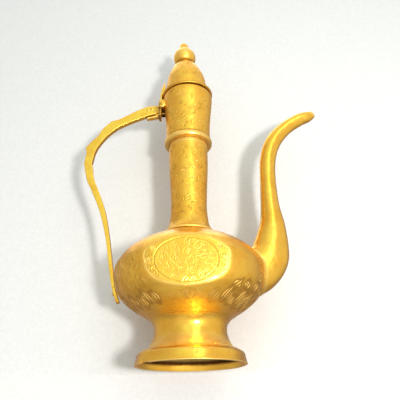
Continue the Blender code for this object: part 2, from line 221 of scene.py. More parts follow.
def respaced(curve, spacing, bend=0.25):
    """The same curve with its points this far apart, and closer where it bends."""
    step = np.diff(curve[:, :2], axis=0)
    length = np.hypot(step[:, 0], step[:, 1])
    heading = np.unwrap(np.arctan2(step[:, 1], step[:, 0]))
    turning = np.abs(np.diff(heading, prepend=heading[0]))
    effort = np.concatenate([[0.0], np.cumsum(length / spacing + turning / bend)])
    wanted = np.linspace(0, effort[-1], int(np.ceil(effort[-1])) + 2)
    return np.column_stack([np.interp(wanted, effort, column) for column in curve.T])


def beside(curve, distance):
    """The curve that runs this far to the left of a curve, as seen going along it."""
    along = np.gradient(curve, axis=0)
    along /= np.linalg.norm(along, axis=1)[:, None]
    return curve + distance * np.column_stack([-along[:, 1], along[:, 0]])


def wobble(points, size, seed):
    """Smooth noise, about -1 to 1, that changes over about this many millimetres."""
    source = np.random.default_rng(seed)
    total = np.zeros(points.shape[:-1])
    waves = 14
    for _ in range(waves):
        direction = source.normal(size=3)
        direction /= np.linalg.norm(direction)
        frequency = 2 * math.pi / size * source.uniform(0.6, 1.5)
        total += np.sin(points @ direction * frequency + source.uniform(0, 2 * math.pi))
    return total / math.sqrt(waves)


def unevenness(points):
    """How far each point of a hand-worked surface stands off its true place."""
    return UNEVENNESS * (wobble(points, 34, 3) + 0.45 * wobble(points, 13, 4))


# ---------------------------------------------------------------- engraving motifs
# A motif is a list of strokes. A stroke is rows of (across, up, half width).


def cut_line(points, width=0.8, steps=6, ends=(0.3, 0.3)):
    """One pass of the graver along a smooth line, thinner at both ends."""
    path = flowing(points, steps)
    share = np.linspace(0, 1, len(path))
    swell = np.clip(np.minimum(share / ends[0], (1 - share) / ends[1]), 0.3, 1)
    return np.column_stack([path, width / 2 * swell])


def moved(motif, across=0.0, up=0.0, turn=0.0, size=1.0, flip=False):
    """A motif turned (degrees, to the right), scaled, mirrored and shifted."""
    c, s = math.cos(math.radians(turn)), math.sin(math.radians(turn))
    result = []
    for stroke in motif:
        x = stroke[:, 0] * (-size if flip else size)
        y = stroke[:, 1] * size
        result.append(np.column_stack([x * c + y * s + across, y * c - x * s + up, stroke[:, 2]]))
    return result


def petal(length, width, cut=0.7):
    """A plain leaf: two sides and a midrib, its point at the origin."""
    side = ((0, 0), (0.38, 0.3), (0.5, 0.6), (0.28, 0.88), (0, 1))
    strokes = [cut_line([(0, 0.12 * length), (0, 0.8 * length)], cut)]
    for way in (-1, 1):
        strokes.append(cut_line([(way * x * width, y * length) for x, y in side], cut, 3))
    return strokes


def feather(length, width, quills=3, cut=0.85):
    """A large leaf cut with long curved strokes that spread from its point."""
    strokes = []
    for i in range(-quills, quills + 1):
        share = i / quills
        top = length * (1 - 0.16 * abs(share) ** 1.5)
        bulge = 0.56 * width * share
        line = [(0.1 * bulge, 0.02 * length), (0.75 * bulge, 0.3 * top)]
        line += [(bulge, 0.62 * top), (0.62 * bulge, top)]
        strokes.append(cut_line(line, cut, 5, (0.45, 0.25)))
    return strokes


def scroll(radius, turns=1.4, cut=0.7):
    """A tendril that winds in from the origin."""
    points = []
    for t in np.linspace(0, 1, 10):
        a = -math.pi / 2 + 2 * math.pi * turns * t
        r = radius * (1 - 0.8 * t)
        points.append((r * math.cos(a), radius + r * math.sin(a)))
    return [cut_line(points, cut, 3, (0.15, 0.3))]


def oval(across, up, count):
    """Points round an oval, from its top and back to it."""
    return [(across * math.sin(a), up * math.cos(a)) for a in np.linspace(0, 2 * math.pi, count)]


def flower(radius, petals, cut):
    """Petals round a small boss of two rings."""
    strokes = [cut_line(oval(ring * radius, ring * radius, 14), cut, 2) for ring in (0.16, 0.3)]
    one = moved(petal(0.68 * radius, 0.5 * radius, cut), up=0.32 * radius)
    for i in range(petals):
        strokes += moved(one, turn=360 * i / petals)
    return strokes


def sprig(length, bend, leaves, leaf_length, cut):
    """A bent stalk with pairs of leaves and one at its tip."""
    stalk = [(0, 0), (0.25 * bend, 0.35 * length), (0.6 * bend, 0.7 * length), (bend, length)]
    strokes = [cut_line(stalk, cut)]
    lean = math.degrees(math.atan2(bend, length))
    for i in range(leaves):
        t = (i + 0.6) / leaves
        x, y = bend * t**1.3, length * t
        size = leaf_length * (1.15 - 0.5 * t)
        for way in (-1, 1):
            strokes += moved(petal(size, 0.4 * size, cut), x, y, lean + way * 48)
    return strokes + moved(petal(leaf_length, 0.42 * leaf_length, cut), bend, length, lean * 1.6)


def tick(length, bend, cut=0.9):
    """One short bent cut, centred on the origin."""
    return cut_line([(0, -length / 2), (bend, 0), (0, length / 2)], cut, 6, (0.4, 0.4))


def loose_ticks():
    """Small groups of cuts that are too worn to make out a pattern."""
    return [
        [tick(6.5, 1.6)],
        [tick(4.5, -1.0), tick(3.5, -0.8) + (1.6, 0.5, 0)],
        [tick(8.0, 2.6, 0.8)],
        [tick(1.4, 0.0, 1.5)],
        [tick(5.0, 1.2), tick(4.0, 0.4) + (-1.5, -1.0, 0)],
        [tick(1.0, 0.0, 1.2), tick(2.4, 0.5) + (1.8, 1.2, 0)],
        [tick(3.4, -1.1, 0.8), tick(3.0, 1.1, 0.8) + (1.2, 2.6, 0)],
    ]


def groove(across, up, motif):
    """How deep the graver has cut at each point, from 0 to 1."""
    starts = np.vstack([stroke[:-1] for stroke in motif])
    ends = np.vstack([stroke[1:] for stroke in motif])
    depth = np.zeros(len(across))
    run = ends[:, :2] - starts[:, :2]
    square = np.maximum((run**2).sum(1), 1e-9)
    for i in range(len(starts)):
        reach = max(starts[i, 2], ends[i, 2])
        low = np.minimum(starts[i, :2], ends[i, :2]) - reach
        high = np.maximum(starts[i, :2], ends[i, :2]) + reach
        near = (across > low[0]) & (across < high[0]) & (up > low[1]) & (up < high[1])
        near = np.flatnonzero(near)
        if not len(near):
            continue
        dx = across[near] - starts[i, 0]
        dy = up[near] - starts[i, 1]
        t = np.clip((dx * run[i, 0] + dy * run[i, 1]) / square[i], 0, 1)
        away = np.hypot(dx - t * run[i, 0], dy - t * run[i, 1])
        half = starts[i, 2] + t * (ends[i, 2] - starts[i, 2])
        bowl = np.clip(1 - (away / half) ** 2, 0, 1) * np.minimum(1, half / FULL_CUT)
        depth[near] = np.maximum(depth[near], bowl)
    return depth


# ---------------------------------------------------------------- meshes


def build_mesh(name, points, faces, attributes, sharp=75):
    """A smooth mesh of these points in millimetres, sharp where it bends by more."""
    mesh = bpy.data.meshes.new(name)
    mesh.from_pydata(to_row(points), [], faces)
    mesh.update()
    mesh.shade_smooth()
    mesh.set_sharp_from_angle(angle=math.radians(sharp))
    for key, values in attributes.items():
        layer = mesh.attributes.new(key, "FLOAT", "POINT")
        layer.data.foreach_set("value", np.asarray(values, np.float32).ravel())
    return mesh


def show(mesh, node, material):
    """Put a finished mesh in the place of one CAD node, on that node's body."""
    piece = bpy.data.objects.new(node + "_look", mesh)
    bpy.context.scene.collection.objects.link(piece)
    piece.data.materials.append(material)
    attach(piece, body_of(frame["nodes"][node])[0])
    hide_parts(node)
    return piece


def grid_faces(rows, columns, wrap_rows):
    """Quads of a grid of points whose rows close on themselves, as lists of vertex
    numbers. A grid whose last row doesn't join its first is capped at both ends."""
    row, column = np.meshgrid(np.arange(rows - 1 + wrap_rows), np.arange(columns), indexing="ij")
    next_row = (row + 1) % rows
    next_column = (column + 1) % columns
    corners = (
        row * columns + column,
        row * columns + next_column,
        next_row * columns + next_column,
        next_row * columns + column,
    )
    faces = np.stack(corners, -1).reshape(-1, 4).tolist()
    if not wrap_rows:
        last = (rows - 1) * columns
        faces.append(list(range(columns))[::-1])
        faces.append(list(range(last, last + columns)))
    return faces


class Turned:
    """A closed turned surface: an outer run of its profile going up, then the rest."""

    def __init__(self, outer, rest, columns, wrap=True):
        profile = np.vstack([outer, rest])
        self.wrap = wrap
        self.columns = columns
        self.rows = len(profile)
        along = np.roll(profile, -1, 0) - np.roll(profile, 1, 0)
        if not wrap:
            along = np.gradient(profile, axis=0)
        along /= np.maximum(np.linalg.norm(along, axis=1), 1e-9)[:, None]
        steps = np.hypot(*np.diff(profile, axis=0, prepend=profile[:1]).T)
        turn = np.linspace(-math.pi, math.pi, columns, endpoint=False)
        shape = (self.rows, columns)
        self.angle = np.broadcast_to(turn, shape)
        self.radius = np.broadcast_to(profile[:, :1], shape)
        self.height = np.broadcast_to(profile[:, 1:], shape)
        self.run = np.broadcast_to(np.cumsum(steps)[:, None], shape)
        self.outside = np.broadcast_to((np.arange(self.rows) < len(outer))[:, None], shape)
        self.lean = np.broadcast_to(along[:, None, :], shape + (2,))
        self.cut = np.zeros(shape)
        self.stain = np.zeros(shape)
        self.grime_and_shade = np.zeros(shape)
        # Insides start darkened: painted shade in the hollows, with dirt
        self.inside_dirt_and_shade = np.full(shape, 0.8)
        self.edge = np.zeros(shape)
        self.relief = np.zeros(shape)

    def outward(self):
        """Unit vectors square to the surface, away from the metal."""
        across, up = self.lean[..., 1], -self.lean[..., 0]
        return np.stack([across * np.sin(self.angle), -across * np.cos(self.angle), up], -1)

    def places(self):
        return np.stack(
            [self.radius * np.sin(self.angle), -self.radius * np.cos(self.angle), self.height], -1
        )

    def engrave(self, motif, angle, height, depth=1.0, bright=0.0, ground=0.0):
        """Cut a motif whose origin is at this angle in degrees and this height. A bright
        cut shows clean metal instead of patina, and past 1 a painted near-white glint; ground darkens the
        metal round it."""
        column = self.outside[:, 0]
        heights, runs = self.height[column, 0], self.run[column, 0]
        past_the_end = height - np.clip(height, heights[0], heights[-1])
        level = np.interp(height, heights, runs) + past_the_end
        turn = (self.angle - math.radians(angle) + math.pi) % (2 * math.pi) - math.pi
        across = turn * self.radius
        up = self.run - level
        everything = np.vstack(motif)
        reach = GROUND_REACH + 0.5
        low = everything[:, :2].min(0) - reach
        high = everything[:, :2].max(0) + reach
        near = self.outside & (across > low[0]) & (across < high[0])
        near = near & (up > low[1]) & (up < high[1])
        cut = depth * groove(across[near], up[near], motif)
        self.cut[near] = np.maximum(self.cut[near], cut)
        self.stain[near] = np.maximum(self.stain[near], (1 - bright) * cut)
        self.edge[near] = np.maximum(self.edge[near], bright * cut)
        if ground:
            wider = [stroke + np.array((0, 0, GROUND_REACH)) for stroke in motif]
            shade = ground * depth * groove(across[near], up[near], wider)
            self.grime_and_shade[near] = np.maximum(self.grime_and_shade[near], shade)

    def soil_and_shade(self, height, reach, amount=1.0):
        """Darker metal round this height: old polish and dirt round a joint, and painted shade where a face
        lies in shade.
        """
        near = np.exp(-(((self.height - height) / reach) ** 2))
        self.grime_and_shade = np.maximum(self.grime_and_shade, np.where(self.outside, amount * near, 0))

    def rub(self, height, reach, amount):
        """Metal that is worn bright round this height."""
        near = np.exp(-(((self.height - height) / reach) ** 2))
        self.edge = np.maximum(self.edge, np.where(self.outside, amount * near, 0))

    def lump(self, angle, height, size, rise):
        """A small bead of spilt solder, or a pit where the rise is negative."""
        across = (self.angle - math.radians(angle)) * self.radius
        away = np.hypot(across, self.height - height) / size
        self.relief = self.relief + np.where(self.outside, rise * np.exp(-(away**2)), 0)

    def finished(self):
        """Where the points end up, with hand-made unevenness and the grooves cut in."""
        places = self.places()
        rise = unevenness(places) + self.relief - GROOVE_DEPTH * self.cut
        return places + self.outward() * np.where(self.outside, rise, 0)[..., None]

    def attributes(self):
        grime_and_shade = np.where(self.outside, self.grime_and_shade, self.inside_dirt_and_shade)
        return {"cut": self.stain, "grime_and_shade": grime_and_shade, "edge": self.edge}

    def mesh(self, name, places=None):
        places = self.finished() if places is None else places
        faces = grid_faces(self.rows, self.columns, self.wrap)
        return build_mesh(name, places.reshape(-1, 3), faces, self.attributes())


def rod(profile, softness, spacing, columns):
    """A small turned piece that is solid from end to end, with softened corners."""
    return Turned(respaced(rounded(profile, softness), spacing), NO_INSIDE, columns, wrap=False)


def laid(piece, x, z):
    """The points of a rod laid along y, its axis through this place."""
    p = piece.places()
    return np.stack([p[..., 0] + x, -p[..., 2], p[..., 1] + z], -1)


def scatter(piece, heights, count, motifs, seed, depth, bright, ground=0.0, swing=30):
    """Motifs in staggered rows round a piece, no two quite alike. This share of them is
    still bright, and the rest is dark with old polish."""
    source = np.random.default_rng(seed)
    for row, height in enumerate(heights):
        for i in range(count):
            angle = 360 / count * (i + 0.5 * (row % 2)) + source.uniform(-7, 7)
            motif = motifs[source.integers(len(motifs))]
            turn, size = source.uniform(-swing, swing), source.uniform(0.8, 1.2)
            motif = moved(motif, turn=turn, size=size, flip=source.random() < 0.5)
            strength = depth * source.uniform(0.5, 1.1)
            clean = 0.9 if source.random() < bright else 0.0
            piece.engrave(motif, angle, height + source.uniform(-2.5, 2.5), strength, clean, ground)


# ---------------------------------------------------------------- materials


class Nodes:
    """Short calls that build one material's node tree."""

    def __init__(self, name):
        self.material = bpy.data.materials.new(name)
        self.material.use_nodes = True
        self.tree = self.material.node_tree
        self.shader = self.tree.nodes["Principled BSDF"]

    def add(self, kind, inputs=(), **settings):
        node = self.tree.nodes.new(kind)
        for key, value in settings.items():
            setattr(node, key, value)
        for key, value in dict(inputs).items():
            self.feed(node.inputs[key], value)
        return node

    def feed(self, socket, value):
        if isinstance(value, bpy.types.NodeSocket):
            self.tree.links.new(value, socket)
        else:
            socket.default_value = value

    def attribute(self, name):
        return self.add("ShaderNodeAttribute", attribute_name=name).outputs["Fac"]

    def sum(self, operation, a, b, clamp=False):
        node = self.add("ShaderNodeMath", {0: a, 1: b}, operation=operation)
        node.use_clamp = clamp
        return node.outputs[0]

    def band(self, value, low, high, out_low=0.0, out_high=1.0):
        """The value stretched smoothly from low..high to the new range."""
        inputs = {0: value, 1: low, 2: high, 3: out_low, 4: out_high}
        node = self.add("ShaderNodeMapRange", inputs, interpolation_type="SMOOTHSTEP")
        return node.outputs[0]

    def plus(self, value, extra, share=1.0):
        """The value with this share of another added."""
        return self.add("ShaderNodeMath", {0: extra, 1: share, 2: value}, operation="MULTIPLY_ADD").outputs[0]

    def colour(self, a, b, share):
        node = self.add("ShaderNodeMix", data_type="RGBA")
        self.feed(node.inputs[0], share)
        self.feed(node.inputs[6], a)
        self.feed(node.inputs[7], b)
        return node.outputs[2]

    def place(self, stretch=(1.0, 1.0, 1.0), shift=(0.0, 0.0, 0.0)):
        """The point in millimetres, stretched to draw out what is sampled there."""
        coordinates = self.add("ShaderNodeTexCoord").outputs["Object"]
        scale = [s / MM for s in stretch]
        node = self.add("ShaderNodeMapping", {0: coordinates, 1: shift, 3: scale})
        return node.outputs[0]

    def noise(self, where, size, detail=3.0, roughness=0.55, distortion=0.0):
        """Cloudy noise whose lumps are about this many millimetres across."""
        inputs = {
            "Vector": where,
            "Scale": 1.0 / size,
            "Detail": detail,
            "Roughness": roughness,
            "Distortion": distortion,
        }
        return self.add("ShaderNodeTexNoise", inputs).outputs["Fac"]


CLEAN = (0.94, 0.575, 0.082, 1)
WARM = (0.88, 0.47, 0.052, 1)
DULL = (0.68, 0.36, 0.06, 1)
PATINA = (0.20, 0.085, 0.015, 1)
OLIVE = (0.36, 0.24, 0.035, 1)
# Near-black colour of painted deep shade in hollows and gaps
SHADE_BLACK = (0.05, 0.02, 0.004, 1)
# Near-white colour of painted highlights and glints
PALE_SHEEN = (1.0, 0.83, 0.38, 1)
COPPERY = (0.74, 0.33, 0.10, 1)
# Bright rubbed and fresh-cut brass, also laid on as painted sheen
BRIGHT = (1.0, 0.72, 0.22, 1)
# Painted shade of the hidden insides, strong enough to turn them nearly black
BLACK_SHADE_LEVEL = 1.8


# How far the finest relief of the skin stands up
SKIN_RELIEF = 0.06


def brass(name, rough, tarnish, seed, rings=0.0, grain=(1, 1, 1), groove_dark=0.5):
    """Old brass: yellow where it is rubbed, warmer and browner where it isn't. Grime and shade
    over 1 is painted near-black shade, and wear and sheen over 1 a painted near-white highlight."""
    n = Nodes(name)
    where = n.place(shift=(seed * 17.0, seed * 9.0, seed * 5.0))
    mottle = n.noise(where, 14.0, 5, 0.6)
    cloud = n.noise(where, 5.0, 4, 0.6, 0.6)
    fine = n.noise(where, 1.3, 3, 0.65)
    pits = n.noise(where, 0.9, 1, 0.5)
    streaks = n.noise(n.place(grain, (seed, 3.0, 7.0)), 2.2, 4, 0.6)
    cut, grime_and_shade, edge = n.attribute("cut"), n.attribute("grime_and_shade"), n.attribute("edge")

    colour = n.colour(CLEAN, WARM, n.band(mottle, 0.40, 0.66, 0.0, 0.75))
    dullness = n.sum("MULTIPLY", n.band(cloud, 0.46, 0.74), tarnish)
    colour = n.colour(colour, DULL, dullness)
    flush = n.noise(where, 7.5, 3, 0.5)
    colour = n.colour(colour, COPPERY, n.band(flush, 0.64, 0.78, 0.0, 0.35 * tarnish))
    colour = n.colour(colour, WARM, n.band(streaks, 0.45, 0.75, 0.0, 0.5))
    speckle = n.band(pits, 0.70, 0.80, 0.0, 0.75 * tarnish)
    colour = n.colour(colour, PATINA, speckle)
    # Wear, bright cuts and painted sheen lighten the brass, and past 1 it turns to a painted near-white
    # highlight
    lit = n.sum("MULTIPLY", edge, n.band(fine, 0.3, 0.6, 0.55, 1.0))
    broken = n.sum("MULTIPLY", cut, n.band(cloud, 0.30, 0.62, 0.45, 1.0))
    colour = n.colour(colour, OLIVE, n.sum("MULTIPLY", broken, groove_dark))
    # Dirt, old polish and painted shade darken the brass towards patina, and past 1 towards near-black
    # painted shade
    darkening = n.sum("MULTIPLY", grime_and_shade, n.band(fine, 0.30, 0.62, 0.6, 1.0))
    colour = n.colour(colour, PATINA, n.sum("MULTIPLY", darkening, 0.85))
    colour = n.colour(colour, SHADE_BLACK, n.sum("SUBTRACT", grime_and_shade, 1.0, clamp=True))
    colour = n.colour(colour, BRIGHT, lit)
    colour = n.colour(colour, PALE_SHEEN, n.sum("SUBTRACT", edge, 1.0, clamp=True))

    roughness = n.band(cloud, 0.25, 0.8, rough - 0.06, rough + 0.12)
    roughness = n.plus(roughness, n.band(streaks, 0.3, 0.8, -0.04, 0.06))
    for worn, share in ((cut, 0.12), (edge, 0.16), (darkening, 0.3)):
        roughness = n.plus(roughness, worn, share)

    height = n.plus(n.sum("MULTIPLY", fine, 0.5), speckle, -0.8)
    height = n.plus(height, streaks, 0.6)
    if rings:
        lathe = n.noise(n.place((0.05, 0.05, 1.0), (0, 0, seed * 11.0)), 0.8, 3, 0.7)
        height = n.plus(height, lathe, rings)
    relief = n.add("ShaderNodeBump", {"Strength": 0.3, "Distance": SKIN_RELIEF * MM, "Height": height})

    n.feed(n.shader.inputs["Base Color"], colour)
    n.feed(n.shader.inputs["Metallic"], 1.0)
    n.feed(n.shader.inputs["Roughness"], roughness)
    n.feed(n.shader.inputs["Normal"], relief.outputs["Normal"])
    return n.material


# ---------------------------------------------------------------- the foot


def foot_to_belly():
    """The stem's and the lower bowl's outlines, as one smooth line cut in two."""
    line = flowing(STEM_OUTLINE + LOWER_OUTLINE[:-1] + ((BELLY_RADIUS, SEAM),))
    joint = np.searchsorted(line[:, 1], STEM_TOP)
    return line[: joint + 1], line[joint:]


# Nicks in the flange and solder spilt on it, as (angle, height, size, rise)
FLANGE_MARKS = (
    (-52, 0.2, 1.7, -1.1), (-46, 0.3, 1.4, -0.7), (7, 4.2, 0.5, -0.35), (33, 5.5, 0.7, 0.25),
    (37, 4.9, 0.6, 0.2), (41, 4.7, 0.8, 0.3), (24, 5.0, 0.5, -0.25),
)
# Beads of solder round the stem's foot, as angles, and pits above, as (angle, height)
STEM_BEADS = (34, 40, 45, 51, 57, 62, 66, 141, 150, -118)
STEM_PITS = ((60, 21.5), (64, 19.0), (58, 24.0), (66, 23.0), (-121, 18.0))


def make_flange(material):
    wall = ((34.15, 0.25), (34.3, 0.0), (35.5, 0.0), (35.75, 0.35), (35.2, 1.5), (34.6, 3.8), (34.25, 5.9))
    shoulder = ((33.7, 7.0), (31.2, 8.55), (28.7, 9.55))
    outer = respaced(rounded(wall + shoulder, 0.5), 0.7)
    hollow = ((27.6, 9.3), (30.4, 7.2), (32.2, 5.7), (32.8, 4.0), (33.9, 0.6))
    flange = Turned(outer, respaced(rounded(hollow, 1.2), 1.2), 400)
    for angle, height, size, rise in FLANGE_MARKS:
        flange.lump(angle, height, size, rise)
    flange.soil_and_shade(9.6, 0.4, 0.8)
    # Painted shade inside the foot, with dirt: clean at the rim, darker higher up and near black under the
    # ceiling
    flange.inside_dirt_and_shade = np.clip((flange.height - 2.7) / 1.0, 0.0, 1.8)
    rim = np.where(flange.outside & (flange.height < 0.6), 0.8, 0)
    corner = 0.5 * np.exp(-(((flange.height - 6.9) / 0.7) ** 2))
    # The shoulder's slope is a painted highlight over rubbed metal: past 1 it turns near white
    slope = np.where(flange.outside, 1.3 * np.clip((flange.height - 7.2) / 1.2, 0, 1), 0)
    flange.edge = np.maximum(np.maximum(rim, corner), slope)
    show(flange.mesh("foot_flange"), "foot_flange", material)


def make_stem(material):
    run = foot_to_belly()[0]
    stem = Turned(respaced(run, 0.7), respaced(beside(run, WALL)[::-1], 2.0), 360)
    for i, angle in enumerate(STEM_BEADS):
        stem.lump(angle, 10.1 + 0.5 * (i % 3), 0.7 + 0.2 * (i % 2), 0.45)
    for angle, height in STEM_PITS:
        stem.lump(angle, height, 0.55, -0.3)
    stem.soil_and_shade(9.5, 0.35, 0.6)
    # Painted near-black shade inside the stem
    stem.inside_dirt_and_shade = np.full(stem.height.shape, BLACK_SHADE_LEVEL)
    # Rubbed bright towards the flange, and past 1 a painted near-white highlight on the stem's foot
    stem.edge = np.where(stem.outside, 1.2 * np.clip((17.5 - stem.height) / 6.5, 0, 1), 0)
    show(stem.mesh("foot_stem"), "foot_stem", material)


# ---------------------------------------------------------------- the belly

MEDALLION_HEIGHT = 55.6
FLOWER_PLACE = (3.4, -2.4)
FAINT_STAIN = 1.0


# The rows of leaves round the flower, as (distance, how many, length)
FLOWER_ROWS = ((6.2, 9, 5.6), (9.6, 13, 6.0), (13.0, 17, 5.6), (16.6, 21, 5.0))
# The sprigs on either side, as (distance, height, lean, length)
SIDE_SPRIGS = ((20.8, -9.5, 4, 13.0), (20.8, -2.0, 16, 10.5), (16.5, -11.5, 40, 7.0))


def medallion():
    """What is cut into the flat oval, measured from the oval's centre: a flower in rows of
    leaves, a ring round them, a ground line, and sprigs on either side. The second list
    holds the cuts that are still bright."""
    source = np.random.default_rng(5)
    ring = cut_line(oval(19.4, 14.0, 41), 0.7, 3, (0.01, 0.01))
    lines = moved([ring], -0.4, 0.2)
    lines.append(cut_line([(-13, -12.9), (-5, -13.7), (4, -13.4), (13, -12.2)], 1.0))
    bright = []
    x, y = FLOWER_PLACE
    lines += moved(flower(4.6, 7, 0.5), x, y)
    for reach, count, length in FLOWER_ROWS:
        for i in range(count):
            a = 2 * math.pi * (i + source.uniform(-0.3, 0.3)) / count
            across, up = x + 1.15 * reach * math.sin(a), y + 0.8 * reach * math.cos(a)
            if math.hypot((across + 0.4) / 17.5, (up - 0.2) / 12.2) > 1:
                continue
            size = length * source.uniform(0.75, 1.2)
            turn = math.degrees(a) + source.uniform(30, 110)
            leaf = moved(petal(size, 0.5 * size, 0.5), across, up, turn)
            lines += leaf[:2]
            bright.append(leaf[2])
    for way in (-1, 1):
        for place, up, turn, length in SIDE_SPRIGS:
            lines += moved(sprig(length, 2.6, 4, 4.2, 0.6), way * place, up, way * turn, 1, way < 0)
        bright += moved(feather(6.5, 2.4, 1, 0.75), way * 22.0, -3.0, way * 24)
        bright += moved(feather(5.5, 2.2, 1, 0.7), way * 20.6, 5.0, way * -12)
    return lines, bright


def flatten_facets(places, outside):
    """Press the round belly flat at the front and back, inside and out, with a soft rim."""
    past = np.abs(places[..., 1]) - np.where(outside, FACET_DISTANCE, FACET_DISTANCE - WALL)
    cut = 0.5 * (past + np.sqrt(past**2 + FACET_RIM**2)) - 0.06
    places[..., 1] -= np.sign(places[..., 1]) * np.clip(cut, 0, None)
    return places


def leaf_cluster(source, length, width, cuts, cut=1.0):
    """Side-by-side curved cuts that make one long leaf, each a little off its place."""
    strokes = []
    for i in range(cuts):
        share = 2 * i / (cuts - 1) - 1
        x = 0.5 * width * share + source.uniform(-0.3, 0.3)
        start = length * (0.10 * abs(share) + source.uniform(0, 0.22))
        end = length * (1 - 0.10 * abs(share) - source.uniform(0, 0.28))
        middle = 0.55 * start + 0.45 * end
        line = [(0.45 * x, start), (x, middle), (0.55 * x + source.uniform(-0.4, 0.4), end)]
        strokes.append(cut_line(line, cut * source.uniform(0.65, 1.2), 6, (0.45, 0.3)))
    return strokes


# Long leaves under the belly, as (angle, height, length, lean, how boldly cut)
UNDER_LEAVES = (
    (-88, 33.4, 9, 0, 0.8), (-76, 32.8, 9, 10, 0.8), (-63, 32.2, 9.5, 19, 0.9), (-50, 31.6, 9.5, 13, 0.9),
    (-40, 33.2, 10.5, -3, 1.0), (-29, 32.6, 10, -12, 1.0), (-18, 34.0, 6, 8, 0.3), (-4, 34.0, 7.5, 36, 0.5),
    (9, 33.6, 7, 30, 0.3), (20, 32.8, 9, 26, 0.5), (34, 32.4, 12, 16, 1.0), (40, 31.2, 9, 30, 0.8),
    (47, 32.0, 15, 28, 1.0), (55, 31.0, 10, 32, 0.8), (62, 32.2, 12.5, 25, 1.0), (70, 31.2, 9, 28, 0.8),
    (78, 32.4, 10, 22, 1.0), (93, 33.0, 9, 10, 1.0),
)
# The shorter row above them
UPPER_LEAVES = (
    (37, 40.0, 8, 42), (51, 39.8, 8, 4), (63, 39.8, 8, 12), (76, 39.6, 7, 10), (-73, 39.5, 7, -12),
)
# Tufts on the flank, as (angle, height, lean)
FLANK_TUFTS = (
    (-34, 41.5, -30), (-44, 41.0, 10), (-54, 41.5, -25), (-50, 44.5, -10), (-39, 44.5, 35),
    (-60, 45.5, 30), (-44, 48.0, -45), (-54, 49.0, 15), (-37, 50.0, 20), (-48, 52.5, 50),
    (-58, 53.0, -30), (-40, 54.5, -15), (-51, 56.5, 20), (-60, 57.5, -5), (-44, 59.5, -35),
    (-37, 62.0, 30), (-53, 61.5, 10),
)


def decorate_belly(belly):
    """Long leaves under the belly, a second row, tufts on the left flank and vines at the
    sides, alike on the front and the back."""
    source = np.random.default_rng(11)
    for half in (0, 180):
        # These leaves' bright cuts at 1.35 run past 1 into painted near-white glints
        for angle, height, length, lean, bold in UNDER_LEAVES:
            leaf = leaf_cluster(source, length * source.uniform(1.35, 1.5), 5.8, 4, 0.85)
            leaf = moved(leaf, turn=lean + source.uniform(-4, 4))
            belly.engrave(leaf, half + angle, height, bold, 1.35, 0.8)
        for angle, height, length, lean in UPPER_LEAVES:
            leaf = moved(leaf_cluster(source, 1.3 * length, 4.4, 3, 0.85), turn=lean)
            belly.engrave(leaf, half + angle, height, 1.0, 1.35, 0.8)
        for angle, height, lean in FLANK_TUFTS:
            tuft = moved(leaf_cluster(source, 6.5, 6.0, 4, 0.6), turn=lean + source.uniform(-12, 12))
            belly.engrave(tuft[::2], half + angle, height, 1.0, 0.0, 0.25)
            belly.engrave(tuft[1::2], half + angle, height, 1.0, 1.0)
        stray = moved(sprig(12, -2.5, 3, 4.6, 0.7), turn=18)
        belly.engrave(stray, half + 48, 48.0, 0.45, 0.5, 0.2)
    for side in (-90, 90):
        for way in (-1, 1):
            large = moved(scroll(3.4, 1.5, 1.0), turn=way * 25, flip=way > 0)
            small = moved(scroll(2.6, 1.5, 0.9), turn=-way * 50)
            top = moved(sprig(9, way * 2.0, 3, 4.0, 0.8), turn=way * 10)
            belly.engrave(large, side + way * 21, 46.5, 1.0, 0.9, 0.6)
            belly.engrave(small, side + way * 17, 52.5, 0.9, 0.8, 0.5)
            belly.engrave(top, side + way * 20, 57.0, 0.8, 0.6, 0.4)


def engrave_facets(belly, places):
    """Clear what runs over the flats and cut the medallions there."""
    facet = belly.outside & (np.abs(places[..., 1]) > FACET_DISTANCE)
    for layer in (belly.cut, belly.stain, belly.edge, belly.grime_and_shade):
        layer[facet] = 0
    lines, bright = medallion()
    for way in (-1, 1):
        face = facet & (places[..., 1] * way > 0)
        across, up = -way * places[..., 0][face], places[..., 2][face] - MEDALLION_HEIGHT
        dark, light = groove(across, up, lines), groove(across, up, bright)
        belly.cut[face] = np.maximum(dark, light)
        belly.stain[face] = np.clip(FAINT_STAIN * dark - light, 0, 1)
        belly.edge[face] = light
    return facet


def belly_skin(belly):
    """The uneven, sliced and engraved surface of a bowl."""
    places = belly.places()
    facet = engrave_facets(belly, places)
    skin = places + belly.outward() * np.where(belly.outside, unevenness(places), 0)[..., None]
    skin = flatten_facets(skin, belly.outside)
    facing = np.zeros_like(places)
    facing[..., 1] = np.sign(places[..., 1])
    outward = np.where(facet[..., None], facing, belly.outward())
    rim = np.abs(np.abs(places[..., 1]) - FACET_DISTANCE)
    rubbed = np.where(belly.outside, 0.5 * np.exp(-((rim / 0.8) ** 2)), 0)
    belly.edge = np.maximum(belly.edge, rubbed)
    return skin - outward * (GROOVE_DEPTH * belly.cut)[..., None]


